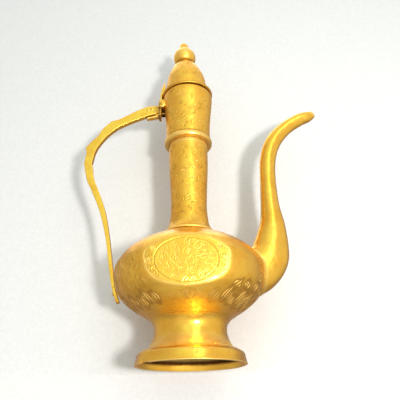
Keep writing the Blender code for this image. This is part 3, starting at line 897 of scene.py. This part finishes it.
def make_belly():
    material = brass("belly_brass", 0.30, 0.5, 2.0, grain=(0.5, 0.5, 1.0), groove_dark=0.75)
    lower_outer = respaced(foot_to_belly()[1], FINE)
    wall = beside(lower_outer, WALL)
    floor = np.array([(25.4, 29.2), (12.0, 28.6), (0.3, 28.2)])
    inside = respaced(wall[12:], COARSE)[::-1]
    inside_floor = np.array([(24.0, 31.0), (10.0, 30.4), (0.3, 30.0)])
    rest = np.vstack([[(BELLY_RADIUS - WALL, SEAM)], inside, inside_floor, floor[::-1]])
    lower = Turned(lower_outer, rest, 900)
    upper_outer = respaced(flowing(((BELLY_RADIUS, SEAM),) + UPPER_OUTLINE[1:]), 0.4)
    inside = respaced(beside(upper_outer, WALL)[:-6], COARSE)[::-1]
    upper = Turned(upper_outer, np.vstack([[(12.8, 87.4), (12.8, 86.3)], inside]), 820)
    lower.soil_and_shade(36.0, 4.0, 0.2)
    # Painted near-black shade inside the lower bowl
    lower.inside_dirt_and_shade = np.full(lower.height.shape, BLACK_SHADE_LEVEL)
    upper.soil_and_shade(87.5, 1.6, 0.35)
    strokes = [petal(5.0, 2.2, 0.7), feather(6, 3.0, 1, 0.7)]
    strokes.append([cut_line([(-4, 0), (0, 1.2), (4, 1.0)], 0.7)])
    scatter(upper, (73.5, 79.0), 16, strokes, 21, 0.35, 0.4)
    for belly, name in ((lower, "body_lower_bowl"), (upper, "body_upper_bowl")):
        decorate_belly(belly)
        show(belly.mesh(name, belly_skin(belly)), name, material)


# ---------------------------------------------------------------- neck, collar and mouth


def make_neck():
    material = brass("neck_brass", 0.38, 0.6, 3.0, grain=(1.0, 1.0, 0.25), groove_dark=0.95)
    ring = ((15.2, 87.35), (17.6, 87.35), (18.15, 87.9), (18.0, 89.0), (17.0, 89.7), (16.4, 90.6))
    tube = flowing(NECK_OUTLINE)
    outer = np.vstack([respaced(rounded(ring, 0.4), 0.3), respaced(tube, FINE)[1:]])
    inner = respaced(np.column_stack([tube[:, 0] - WALL, tube[:, 1]])[::-1], COARSE)
    neck = Turned(outer, inner, 264)
    scatter(neck, np.arange(96, 157, 4.2), 9, loose_ticks(), 31, 1.1, 0.45, 0.15, 85)
    for i in range(6):
        neck.engrave(feather(8, 4.4, 2, 0.85), 60 * i + 20, 92.2, 0.7, 0.3, 0.3)
    for height in (92.0, 158.6):
        all_round = [(x, 0) for x in np.linspace(-50, 50, 9)]
        neck.engrave([cut_line(all_round, 0.7, 6, (0.01, 0.01))], 0, height, 0.6)
    neck.lump(43, 90.6, 0.9, 0.35)
    neck.soil_and_shade(90.2, 0.5, 0.6)
    neck.soil_and_shade(161.6, 1.1, 0.8)
    neck.rub(88.5, 0.7, 0.8)
    below_collar = np.where(neck.outside, 0.6 * np.clip((neck.height - 156) / 4, 0, 1), 0)
    neck.edge = np.maximum(neck.edge, below_collar)
    show(neck.mesh("neck_tube"), "neck_tube", material)


def make_collar():
    material = brass("collar_brass", 0.22, 0.35, 4.0, rings=0.6, grain=(0.3, 0.3, 1.0))
    bead = ((15.2, 161.9), (16.7, 161.9), (18.0, 162.4), (18.6, 163.9), (18.4, 165.4))
    bead += ((17.5, 166.7), (15.2, 166.7))
    collar = Turned(respaced(rounded(bead, 1.0, 7), 0.4), NO_INSIDE, 264)
    collar.soil_and_shade(161.9, 0.4, 0.6)
    collar.soil_and_shade(166.8, 0.35, 0.8)
    collar.rub(163.6, 2.2, 0.85)
    show(collar.mesh("collar_ring"), "collar_ring", material)


def make_mouth():
    material = brass("mouth_brass", 0.38, 0.6, 5.0, grain=(1.0, 1.0, 0.25), groove_dark=0.95)
    wall = flowing(MOUTH_OUTLINE)
    lip = rounded((wall[-2], (19.6, RIM_TOP), (18.0, RIM_TOP), (18.05, RIM_TOP - 2)), 0.35)
    outer = np.vstack([respaced(wall[:-1], FINE), respaced(lip, 0.3)[1:]])
    inner = np.column_stack([wall[:, 0] - WALL, wall[:, 1]])[-14:0:-1]
    mouth = Turned(outer, respaced(inner, COARSE), 330)
    scatter(mouth, np.arange(170, 205, 4.2), 11, loose_ticks(), 32, 1.1, 0.45, 0.15, 85)
    mouth.soil_and_shade(166.9, 0.9, 0.8)
    mouth.soil_and_shade(208.3, 0.4, 0.2)
    show(mouth.mesh("mouth_tube"), "mouth_tube", material)


# ---------------------------------------------------------------- the lid


def make_lid():
    material = brass("lid_brass", 0.36, 0.6, 6.0, grain=(1.0, 1.0, 0.35), groove_dark=0.8)
    lip = ((16.0, 206.4), (16.0, 208.45), (20.2, 208.45), (20.65, 209.0), (20.6, 210.2))
    lip += ((19.9, 210.85), (16.7, 211.3))
    dome = flowing(DOME_OUTLINE)
    outer = np.vstack([respaced(rounded(lip, 0.4), 0.35), respaced(dome, FINE)])
    inside = beside(dome, WALL)
    inside[-1] = (2.4, 242.8)
    inner = np.vstack([respaced(inside[::-1], COARSE), [(14.8, 211.0), (14.8, 206.3)]])
    lid = Turned(outer, inner, 290)
    for i in range(10):
        lid.engrave(petal(15, 6.0, 0.8), 36 * i, 217.5, 0.4, 0.4)
    scatter(lid, np.arange(214, 238, 4.0), 9, loose_ticks(), 33, 1.0, 0.45, 0.15, 85)
    lid.soil_and_shade(211.6, 0.6, 0.6)
    # Painted shade on the lip's outer face, which turns down away from the light
    lid.soil_and_shade(209.5, 0.9, 0.6)
    lid.soil_and_shade(244.5, 0.5, 0.7)
    show(lid.mesh("lid_dome", ajar(lid.finished())), "lid_dome", material)


def make_finial():
    material = brass("finial_brass", 0.32, 0.5, 7.0, rings=0.7, grain=(0.3, 0.3, 1.0))
    shank = ((0.15, 240.9), (3.0, 241.0), (3.2, 242.0), (2.0, 242.4), (2.0, 244.6), (4.6, 244.6))
    bead = ((5.4, 245.2), (7.6, 246.3), (9.1, 248.6), (9.5, 251.4), (9.2, 254.2), (7.8, 257.0))
    tip = ((5.9, 259.2), (4.7, 260.6), (4.2, 263.0), (3.6, 265.4), (2.7, 267.2), (1.5, 268.1))
    profile = rounded(shank + bead + tip + ((0.15, TOTAL_HEIGHT),), 1.4, 6)
    finial = Turned(respaced(profile, 0.35, 0.16), NO_INSIDE, 140, wrap=False)
    finial.soil_and_shade(245.4, 0.7, 0.8)
    finial.soil_and_shade(260.8, 0.6, 0.25)
    finial.rub(251.6, 4.5, 0.5)
    show(finial.mesh("finial", ajar(finial.finished())), "finial", material)


# ---------------------------------------------------------------- cast pieces


def prism(outline, low, high):
    """A closed solid: an outline in the XZ plane pushed from y = low to y = high."""
    bm = bmesh.new()
    face = bm.faces.new([bm.verts.new((x, low, z)) for x, z in outline])
    pushed = bmesh.ops.extrude_face_region(bm, geom=[face])["geom"]
    corners = [v for v in pushed if isinstance(v, bmesh.types.BMVert)]
    bmesh.ops.translate(bm, verts=corners, vec=(0, high - low, 0))
    bmesh.ops.recalc_face_normals(bm, faces=bm.faces)
    return bm


def loft(rings):
    """A closed solid skinned over equal rings of points."""
    bm = bmesh.new()
    rows = [[bm.verts.new(p) for p in ring] for ring in rings]
    count = len(rows[0])
    for one, two in zip(rows, rows[1:]):
        for i in range(count):
            j = (i + 1) % count
            bm.faces.new((one[i], one[j], two[j], two[i]))
    bm.faces.new(rows[0])
    bm.faces.new(rows[-1])
    bmesh.ops.recalc_face_normals(bm, faces=bm.faces)
    return bm


def disc_outline(x, z, radius, segments=40):
    turn = [2 * math.pi * (i + 0.5) / segments for i in range(segments)]
    return [(x + radius * math.cos(a), z + radius * math.sin(a)) for a in turn]


def temporary(name, solids):
    """One object, in millimetres, that holds all these solids and takes them over."""
    mesh = bpy.data.meshes.new(name)
    joined = bmesh.new()
    for solid in solids:
        part = bpy.data.meshes.new("part")
        solid.to_mesh(part)
        solid.free()
        joined.from_mesh(part)
        bpy.data.meshes.remove(part)
    joined.to_mesh(mesh)
    joined.free()
    holder = bpy.data.objects.new(name, mesh)
    bpy.context.scene.collection.objects.link(holder)
    return holder


def evaluated(holder):
    """The points and faces of an object with its modifiers, and the object is removed."""
    graph = bpy.context.evaluated_depsgraph_get()
    graph.update()
    result = holder.evaluated_get(graph).to_mesh()
    points = np.zeros(len(result.vertices) * 3)
    result.vertices.foreach_get("co", points)
    faces = [list(p.vertices) for p in result.polygons]
    holder.evaluated_get(graph).to_mesh_clear()
    bpy.data.objects.remove(holder)
    return points.reshape(-1, 3), faces


def drilled(holder, cutters):
    """The points and faces of an object once these solids are cut out of it."""
    drills = [temporary("drill", [cutter]) for cutter in cutters]
    for drill in drills:
        modifier = holder.modifiers.new("drill", "BOOLEAN")
        modifier.operation = "DIFFERENCE"
        modifier.object = drill
    points, faces = evaluated(holder)
    for drill in drills:
        bpy.data.objects.remove(drill)
    return points, faces


def cast(solids, bore, smoothing=4):
    """Solids run together as one casting with soft edges, then bored."""
    holder = temporary("casting", solids)
    remesh = holder.modifiers.new("run_together", "REMESH")
    remesh.mode = "VOXEL"
    remesh.voxel_size = 0.2
    smooth = holder.modifiers.new("soft_edges", "SMOOTH")
    smooth.factor = 0.5
    smooth.iterations = smoothing
    return drilled(holder, [bore])


def surface_form(points, faces, passes=6):
    """How far each point stands out of (+) or lies below (-) the surface round it."""
    pairs = set()
    for face in faces:
        for a, b in zip(face, face[1:] + face[:1]):
            pairs.add((min(a, b), max(a, b)))
    pairs = np.array(sorted(pairs))
    count = np.zeros(len(points))
    np.add.at(count, pairs.ravel(), 1)

    def mean_of_neighbours(values):
        total = np.zeros_like(values)
        np.add.at(total, pairs[:, 0], values[pairs[:, 1]])
        np.add.at(total, pairs[:, 1], values[pairs[:, 0]])
        return total / np.maximum(count, 1)[:, None]

    level = points.copy()
    for _ in range(passes):
        level = mean_of_neighbours(level)
    normals = np.zeros_like(points)
    for size in (3, 4):
        some = np.array([f for f in faces if len(f) == size])
        if len(some):
            first, second, third = (points[some[:, k]] for k in range(3))
            flat = np.cross(second - first, third - first)
            for k in range(size):
                np.add.at(normals, some[:, k], flat)
    normals /= np.maximum(np.linalg.norm(normals, axis=1), 1e-12)[:, None]
    form = ((points - level) * normals).sum(1)[:, None]
    for _ in range(3):
        form = mean_of_neighbours(form)
    return form[:, 0], normals


def show_cast(node, points, faces, material, scale=0.08, rough=0.03, soil_and_shade=None):
    """Show a casting with worn edges, dirt and painted shade in its corners and a slightly uneven skin."""
    form, normals = surface_form(points, faces)
    uneven = rough * (wobble(points, 5, 21) + 0.6 * wobble(points, 2.2, 22))
    points = points + normals * uneven[:, None]
    edge = np.clip(form / scale, 0, 1) * 0.8
    # Hollows and corners are darkened: dirt and painted shade
    grime_and_shade = np.clip(-form / scale, 0, 1)
    if soil_and_shade is not None:
        grime_and_shade = np.maximum(grime_and_shade, soil_and_shade(points))
    attributes = {"cut": np.zeros(len(points)), "grime_and_shade": grime_and_shade, "edge": edge}
    show(build_mesh(node, points, faces, attributes, 50), node, material)


def pin_bore():
    return prism(disc_outline(HINGE_X, HINGE_Z, PIN_BORE_RADIUS), -9, 9)


# The thumb tab's sections from the bottom up, as (left, right, height, half width)
THUMB_TAB = (
    (-21.1, -18.2, 211.6, 3.3), (-21.2, -17.9, 214.2, 3.8), (-20.3, -17.7, 218.0, 3.7),
    (-19.1, -17.5, 222.0, 2.4), (-18.2, -17.4, 225.1, 0.9),
)


def make_leaf(material):
    """The knuckle round the pin, the arm up to the lid and the thumb tab on it."""
    knuckle = prism(disc_outline(HINGE_X, HINGE_Z, KNUCKLE_RADIUS), -KNUCKLE_HALF, KNUCKLE_HALF)
    arm = ((-23.3, 202.6), (-21.0, 203.4), (-20.75, 205.4), (-20.75, 211.3), (-17.0, 211.3))
    arm += ((-17.0, 212.8), (-21.1, 213.0), (-22.0, 211.0), (-22.2, 206.0))
    thumb = []
    for x0, x1, z, width in THUMB_TAB:
        thumb.append([(x0, -width, z), (x1, -width, z), (x1, width, z), (x0, width, z)])
    solids = [knuckle, prism(arm, -KNUCKLE_HALF, KNUCKLE_HALF), loft(thumb)]
    points, faces = cast(solids, pin_bore())
    show_cast("lid_hinge_leaf", ajar(points), faces, material)


def make_pin(material):
    end = EAR_OUTSIDE + 0.5
    half = ((PIN_RADIUS, end - 0.3), (0.55, end), (0.05, end))
    pin = rod(tuple((r, -h) for r, h in half[::-1]) + half, 0.2, 0.5, 32)
    show(pin.mesh("hinge_pin", laid(pin, HINGE_X, HINGE_Z)), "hinge_pin", material)


def make_bracket(material):
    """The plate against the handle, its blade and tongue, and the ears on the mouth tube."""
    plate = prism(((-23.6, 190.2), (-21.6, 190.2), (-21.2, 199.7), (-23.6, 199.7)), -4.6, 4.6)
    blade = prism(((-22, 192), (-22, 199.4), (-30, 199.8), (-34.2, 198.4), (-34.2, 195.0)), -0.6, 0.6)
    tongue = prism(((-33.0, 188.8), (-22, 190.8), (-22, 192.1), (-32.8, 189.9)), -2.1, 2.1)
    pad = prism(((-22, 192.5), (-17.6, 192.5), (-17.6, 198.5), (-22, 198.5)), -2.6, 2.6)
    ear = ((-23.4, 197.2), (-19.8, 196.8), (-17.6, 198.4), (-17.9, 203.0), (-18.6, 203.9))
    ear += ((-21.2, 203.9), (-22.6, 203.4), (-23.2, 202.0))
    solids = [plate, blade, tongue, pad]
    solids += [prism(ear, -EAR_OUTSIDE, -EAR_INSIDE), prism(ear, EAR_INSIDE, EAR_OUTSIDE)]
    for way in (-1, 1):
        boss = []
        for radius, out in ((2.3, -1.0), (2.1, 0.0), (1.4, 0.5), (0.5, 0.7)):
            outline = disc_outline(-19.5, 200.4, radius)
            boss.append([(x, way * (EAR_OUTSIDE + out), 0.3 * (z - 200.4) + z) for x, z in outline])
        solids.append(loft(boss))

    # Painted shade: near black in the gap between the plate and the mouth tube below the knuckle, and dark on
    # the plate's face that turns from the light
    def bracket_shade(points):
        by_the_mouth = 1.9 * np.clip((points[:, 0] + 21.4) / 0.5, 0, 1) * (points[:, 2] < 197.0)
        on_the_plate = 1.15 * np.clip((-21.5 - points[:, 0]) / 0.4, 0, 1) * (points[:, 0] > -24.2)
        return np.maximum(by_the_mouth, on_the_plate)

    points, faces = cast(solids, pin_bore(), 9)
    show_cast("hinge_bracket", points, faces, material, soil_and_shade=bracket_shade)


def handle_edges():
    """The handle's outer and inner edge, point for point: smooth runs and cut bumps."""
    first, last = HANDLE_BUMPS
    edges = []
    for side in (HANDLE_OUTER, HANDLE_INNER):
        bumps = rounded(side[first - 1 : last + 1], 1.2, 5)[1:-1]
        edges.append(np.vstack([flowing(side[:first]), bumps, flowing(side[last:])]))
    both = respaced(np.column_stack(edges), 0.6, 0.5)
    return both[:, :2], both[:, 2:]


def make_handle(material):
    """A strap filed to its outline, with softened edges and one slit at the root."""
    outer, inner = handle_edges()
    middle, across = (outer + inner) / 2, (inner - outer) / 2
    half = HANDLE_THICKNESS / 2
    corner = respaced(rounded(((0.0, half), (1.0, half), (1.0, 0.0)), 0.3, 8), 0.2, 0.35)
    swing, thick = corner.T
    swing = np.concatenate([swing, swing[-2::-1], -swing[1:], -swing[-2:0:-1]])
    thick = np.concatenate([thick, -thick[-2::-1], -thick[1:], thick[-2:0:-1]])
    rows = middle[:, None, :] + across[:, None, :] * swing[None, :, None]
    places = np.stack([rows[..., 0], np.broadcast_to(thick, rows.shape[:2]), rows[..., 1]], -1)
    slit = prism(((-34.7, 186), (-23.0, 186), (-23.0, 206), (-34.7, 206)), -0.8, 0.8)
    bores = [prism(disc_outline(x, z, RIVET_BORE_RADIUS, 24), -4, 4) for x, z in ROOT_RIVETS]
    points, faces = drilled(temporary("strap", [loft(places.tolist())]), [slit] + bores)

    def at_the_joints(points):
        root = np.exp(-(((points[:, 0] + 25.0) / 2.5) ** 2)) * (points[:, 2] > 190)
        return np.maximum(0.5 * root, 0.7 * np.exp(-(((points[:, 2] - 40) / 5) ** 2)))

    show_cast("handle", points, faces, material, rough=0.006, scale=0.25, soil_and_shade=at_the_joints)


def make_rivets(material):
    """Peened heads: two right through the handle's root, one at its tail."""
    seat = HANDLE_THICKNESS / 2
    top = [(r, seat + h) for r, h in ((0.05, 0.62), (0.75, 0.5), (1.25, 0.15), (1.3, -0.1), (0.7, -0.2))]
    for i, (x, z) in enumerate(ROOT_RIVETS):
        rivet = rod([(r, -h) for r, h in top] + top[::-1], 0.35, 0.3, 36)
        rivet.soil_and_shade(seat - 0.1, 0.25, 0.9)
        rivet.soil_and_shade(-seat + 0.1, 0.25, 0.9)
        node = f"handle_root_rivet_{i + 1}"
        show(rivet.mesh(node, laid(rivet, x, z)), node, material)
    profile = ((0.05, -0.75), (0.75, -0.6), (1.25, -0.2), (1.3, 0.1), (0.7, 0.2), (0.7, 6.0), (0.05, 6.0))
    rivet = rod(profile, 0.3, 0.4, 36)
    rivet.soil_and_shade(0.1, 0.25, 0.9)
    p = rivet.places()
    lying = np.stack([p[..., 2] + TAIL_RIVET_X, -p[..., 0], p[..., 1] + TAIL_RIVET_Z], -1)
    show(rivet.mesh("tail_rivet", lying), "handle_tail_rivet", material)


# ---------------------------------------------------------------- the spout


def belly_radius(height):
    outline = np.vstack([foot_to_belly()[1], flowing(UPPER_OUTLINE)])
    return np.interp(height, outline[:, 1], outline[:, 0])


def spout_rings():
    """The spout's sections and the direction that stands across each of them."""
    stations = respaced(flowing(SPOUT_STATIONS, 16), 0.7)
    along = np.gradient(stations[:, :2], axis=0)
    along /= np.linalg.norm(along, axis=1)[:, None]
    length = np.cumsum(np.hypot(*np.diff(stations[:, :2], axis=0, prepend=stations[:1, :2]).T))
    near_mouth = np.clip((length - length[-1] + 9) / 9, 0, 1)[:, None] ** 2
    along = along * (1 - near_mouth) + np.array(SPOUT_MOUTH) * near_mouth
    along /= np.linalg.norm(along, axis=1)[:, None]
    return stations, np.column_stack([-along[:, 1], along[:, 0]])


def spout_skin(stations, across, turn, side, shrink):
    """Half of the spout's surface, this far inside its outline."""
    rise = (stations[:, 2, None] - shrink) * np.cos(turn)
    out = (stations[:, 3, None] - shrink) * np.sin(turn)
    x = stations[:, 0, None] + across[:, 0, None] * rise
    z = stations[:, 1, None] + across[:, 1, None] * rise
    return np.stack([x, side * out, z], -1)


def make_spout():
    """Two cast halves brazed down the middle, with solder run round the root."""
    material = brass("spout_brass", 0.25, 0.4, 8.0, grain=(0.9, 0.9, 0.22))
    stations, across = spout_rings()
    turn = np.linspace(0, math.pi, 57)
    on_the_seam = np.sin(turn) < 1e-6
    for node, side in (("spout_front_half", -1), ("spout_rear_half", 1)):
        outer = spout_skin(stations, across, turn, side, 0.0)
        inner = spout_skin(stations, across, turn, side, SPOUT_WALL)
        clear = np.hypot(outer[..., 0], outer[..., 1]) - belly_radius(outer[..., 2])
        clear = np.where(outer[..., 2] > 86, 50, clear)
        fillet = 0.75 * np.exp(-np.clip(clear, 0, None) / 0.8)
        away = outer.copy()
        away[..., 0] -= stations[:, 0, None]
        away[..., 2] -= stations[:, 1, None]
        away /= np.maximum(np.linalg.norm(away, axis=2), 1e-6)[..., None]
        uneven = 0.08 * (wobble(outer, 26, 31) + 0.5 * wobble(outer, 9, 32))
        seam = 0.07 * np.exp(-((outer[..., 1] / 0.35) ** 2))
        outer = outer + away * (fillet + uneven - seam)[..., None]
        places = np.concatenate([outer, inner[:, ::-1]], 1)
        places[:, np.concatenate([on_the_seam, on_the_seam[::-1]]), 1] = 0.0
        rows, columns = places.shape[:2]
        faces = grid_faces(rows, columns, False)
        if side > 0:
            faces = [face[::-1] for face in faces]
        outside = slice(0, len(turn))
        # The inside is darkened as painted shade, like the turned pieces' insides
        grime_and_shade = np.full((rows, columns), 0.8)
        grime_and_shade[:, outside] = 0.75 * np.exp(-(((clear - 0.2) / 0.6) ** 2))
        edge = np.zeros((rows, columns))
        edge[:, outside] = 0.7 * np.exp(-(((clear - 1.2) / 0.8) ** 2))
        edge[-3:] = 0.7
        attributes = {"cut": np.zeros(rows * columns), "grime_and_shade": grime_and_shade, "edge": edge}
        mesh = build_mesh(node, places.reshape(-1, 3), faces, attributes, 60)
        show(mesh, node, material)


# ---------------------------------------------------------------- stage, light and camera

STAGE_HALF_WIDTH = 3.0
CAMERA_PLACE = (11.655, -301.869, -31.188)
PITCH, YAW, ROLL = 0.4523, -0.0116, -0.0245
LENS = 40.95



def stage_material(name, colour):
    """Plain pale paint that can't be seen from behind."""
    n = Nodes(name)
    darker = tuple(0.94 * c for c in colour[:3]) + (1,)
    fibres = n.noise(n.place(), 2.0, 4, 0.6)
    n.feed(n.shader.inputs["Base Color"], n.colour(colour, darker, n.band(fibres, 0.3, 0.7)))
    n.feed(n.shader.inputs["Roughness"], 0.9)
    n.feed(n.shader.inputs["Specular IOR Level"], 0.1)
    clear = n.add("ShaderNodeBsdfTransparent")
    back = n.add("ShaderNodeNewGeometry").outputs["Backfacing"]
    mix = n.add("ShaderNodeMixShader", {0: back, 1: n.shader.outputs[0], 2: clear.outputs[0]})
    output = n.tree.nodes["Material Output"]
    n.feed(output.inputs["Surface"], mix.outputs[0])
    return n.material


def sheet(name, corners, material):
    mesh = bpy.data.meshes.new(name)
    mesh.from_pydata([Vector(c) for c in corners], [], [(0, 1, 2, 3)])
    mesh.materials.append(material)
    board = bpy.data.objects.new(name, mesh)
    bpy.context.scene.collection.objects.link(board)
    board.visible_glossy = False
    board.visible_shadow = False
    return board


def make_stage():
    """A sheet of pale paper behind the pot, just clear of it, and one under it."""
    pale = stage_material("pale_paper", (0.72, 0.73, 0.75, 1))
    back = (FACET_DISTANCE + 0.7) * MM
    w = STAGE_HALF_WIDTH
    sheet("backdrop", ((-w, back, -w), (w, back, -w), (w, back, w), (-w, back, w)), pale)
    sheet("floor", ((-w, -w, 0), (w, -w, 0), (w, w, 0), (-w, w, 0)), pale)


def area_light(name, place, target, size, power, colour=(1, 1, 1), height=None):
    """A round lamp, or an upright strip where it has a height as well."""
    light = bpy.data.lights.new(name, "AREA")
    light.shape = "ELLIPSE" if height else "DISK"
    light.size = size
    light.size_y = height or size
    light.energy = power
    light.color = colour
    holder = bpy.data.objects.new(name, light)
    bpy.context.scene.collection.objects.link(holder)
    holder.location = Vector(place) * MM + Vector((POT_AXIS_X, 0, 0))
    aim = Vector(target) * MM + Vector((POT_AXIS_X, 0, 0)) - holder.location
    holder.rotation_mode = "QUATERNION"
    holder.rotation_quaternion = aim.to_track_quat("-Z", "Y")


SHADE = (0.38, 0.32, 0.34, 1)
# Soft light laid over the shade, as (direction, where it begins, where it is full, colour)
GLOWS = (
    ((0, -0.72, -0.69), 0.72, 0.97, (0.68, 0.64, 0.58, 1)),
    ((0.05, -0.85, 0.5), -0.45, 0.7, (0.97, 0.95, 0.91, 1)),
    ((0.05, -0.88, 0.42), 0.84, 0.98, (1.03, 1.3, 1.12, 1)),
    ((0.88, -0.47, 0.05), 0.25, 0.97, (0.90, 0.85, 0.78, 1)),
    ((-0.9, -0.1, 0.2), 0.35, 0.95, (0.66, 0.61, 0.56, 1)),
    ((0, 0.1, 1), 0.72, 0.95, (1.12, 1.12, 1.12, 1)),
    ((0, 0.15, -1), 0.72, 0.98, (0.85, 0.85, 0.85, 1)),
)


def soft_studio():
    """Soft light all round: low and broad in front with a bright core, at either side,
    overhead, and from below as off a floor. Each glow fades into those before it."""
    world = bpy.data.worlds.new("soft_studio")
    bpy.context.scene.world = world
    world.use_nodes = True
    nodes, links = world.node_tree.nodes, world.node_tree.links
    coordinates = nodes.new("ShaderNodeTexCoord").outputs["Generated"]
    light = nodes.new("ShaderNodeRGB").outputs[0]
    light.default_value = SHADE
    for direction, begins, full, colour in GLOWS:
        dot = nodes.new("ShaderNodeVectorMath")
        dot.operation = "DOT_PRODUCT"
        dot.inputs[1].default_value = Vector(direction).normalized()
        links.new(coordinates, dot.inputs[0])
        ramp = nodes.new("ShaderNodeMapRange")
        ramp.interpolation_type = "SMOOTHSTEP"
        ramp.inputs[1].default_value = begins
        ramp.inputs[2].default_value = full
        links.new(dot.outputs["Value"], ramp.inputs[0])
        mix = nodes.new("ShaderNodeMix")
        mix.data_type = "RGBA"
        links.new(ramp.outputs[0], mix.inputs[0])
        links.new(light, mix.inputs[6])
        mix.inputs[7].default_value = colour
        light = mix.outputs[2]
    links.new(light, nodes["Background"].inputs[0])


def make_light():
    soft_studio()
    area_light("key", (200, -520, -60), (0, 0, 90), 0.07, 2.4, (1.0, 0.96, 0.90))
    area_light("strip", (215, -570, 200), (0, 0, 110), 0.2, 0.9, (0.95, 1.0, 0.92), 1.1)
    area_light("rear", (-150, 420, 800), (0, 0, 110), 0.9, 1.5, (0.96, 0.98, 1.0))


def make_camera():
    """The photograph's view: from in front of the foot, looking up along the pot."""
    forward = Vector((math.sin(YAW) * math.cos(PITCH), math.cos(YAW) * math.cos(PITCH), math.sin(PITCH)))
    right = forward.cross(Vector((0, 0, 1))).normalized()
    up = right.cross(forward)
    level_right = math.cos(ROLL) * right + math.sin(ROLL) * up
    level_up = math.cos(ROLL) * up - math.sin(ROLL) * right
    data = bpy.data.cameras.new("camera")
    camera = bpy.data.objects.new("camera", data)
    bpy.context.scene.collection.objects.link(camera)
    facing = Matrix((level_right, level_up, -forward)).transposed().to_4x4()
    camera.matrix_world = Matrix.Translation(to_row(CAMERA_PLACE)) @ facing
    data.sensor_width = 36.0
    data.lens = LENS
    data.clip_start = 0.01
    data.clip_end = 50
    bpy.context.scene.camera = camera


# ---------------------------------------------------------------- everything

foot_brass = brass("foot_brass", 0.23, 0.35, 1.0, rings=0.6, grain=(0.3, 0.3, 1.0))
make_flange(foot_brass)
make_stem(foot_brass)
make_belly()
make_neck()
make_collar()
make_mouth()
make_lid()
make_finial()
cast_brass = brass("cast_brass", 0.28, 0.5, 9.0, grain=(1.0, 1.0, 0.4))
for make_cast_piece in (make_leaf, make_pin, make_bracket, make_handle, make_rivets):
    make_cast_piece(cast_brass)
make_spout()
make_stage()
make_light()
make_camera()
bpy.context.scene.view_settings.view_transform = "Standard"
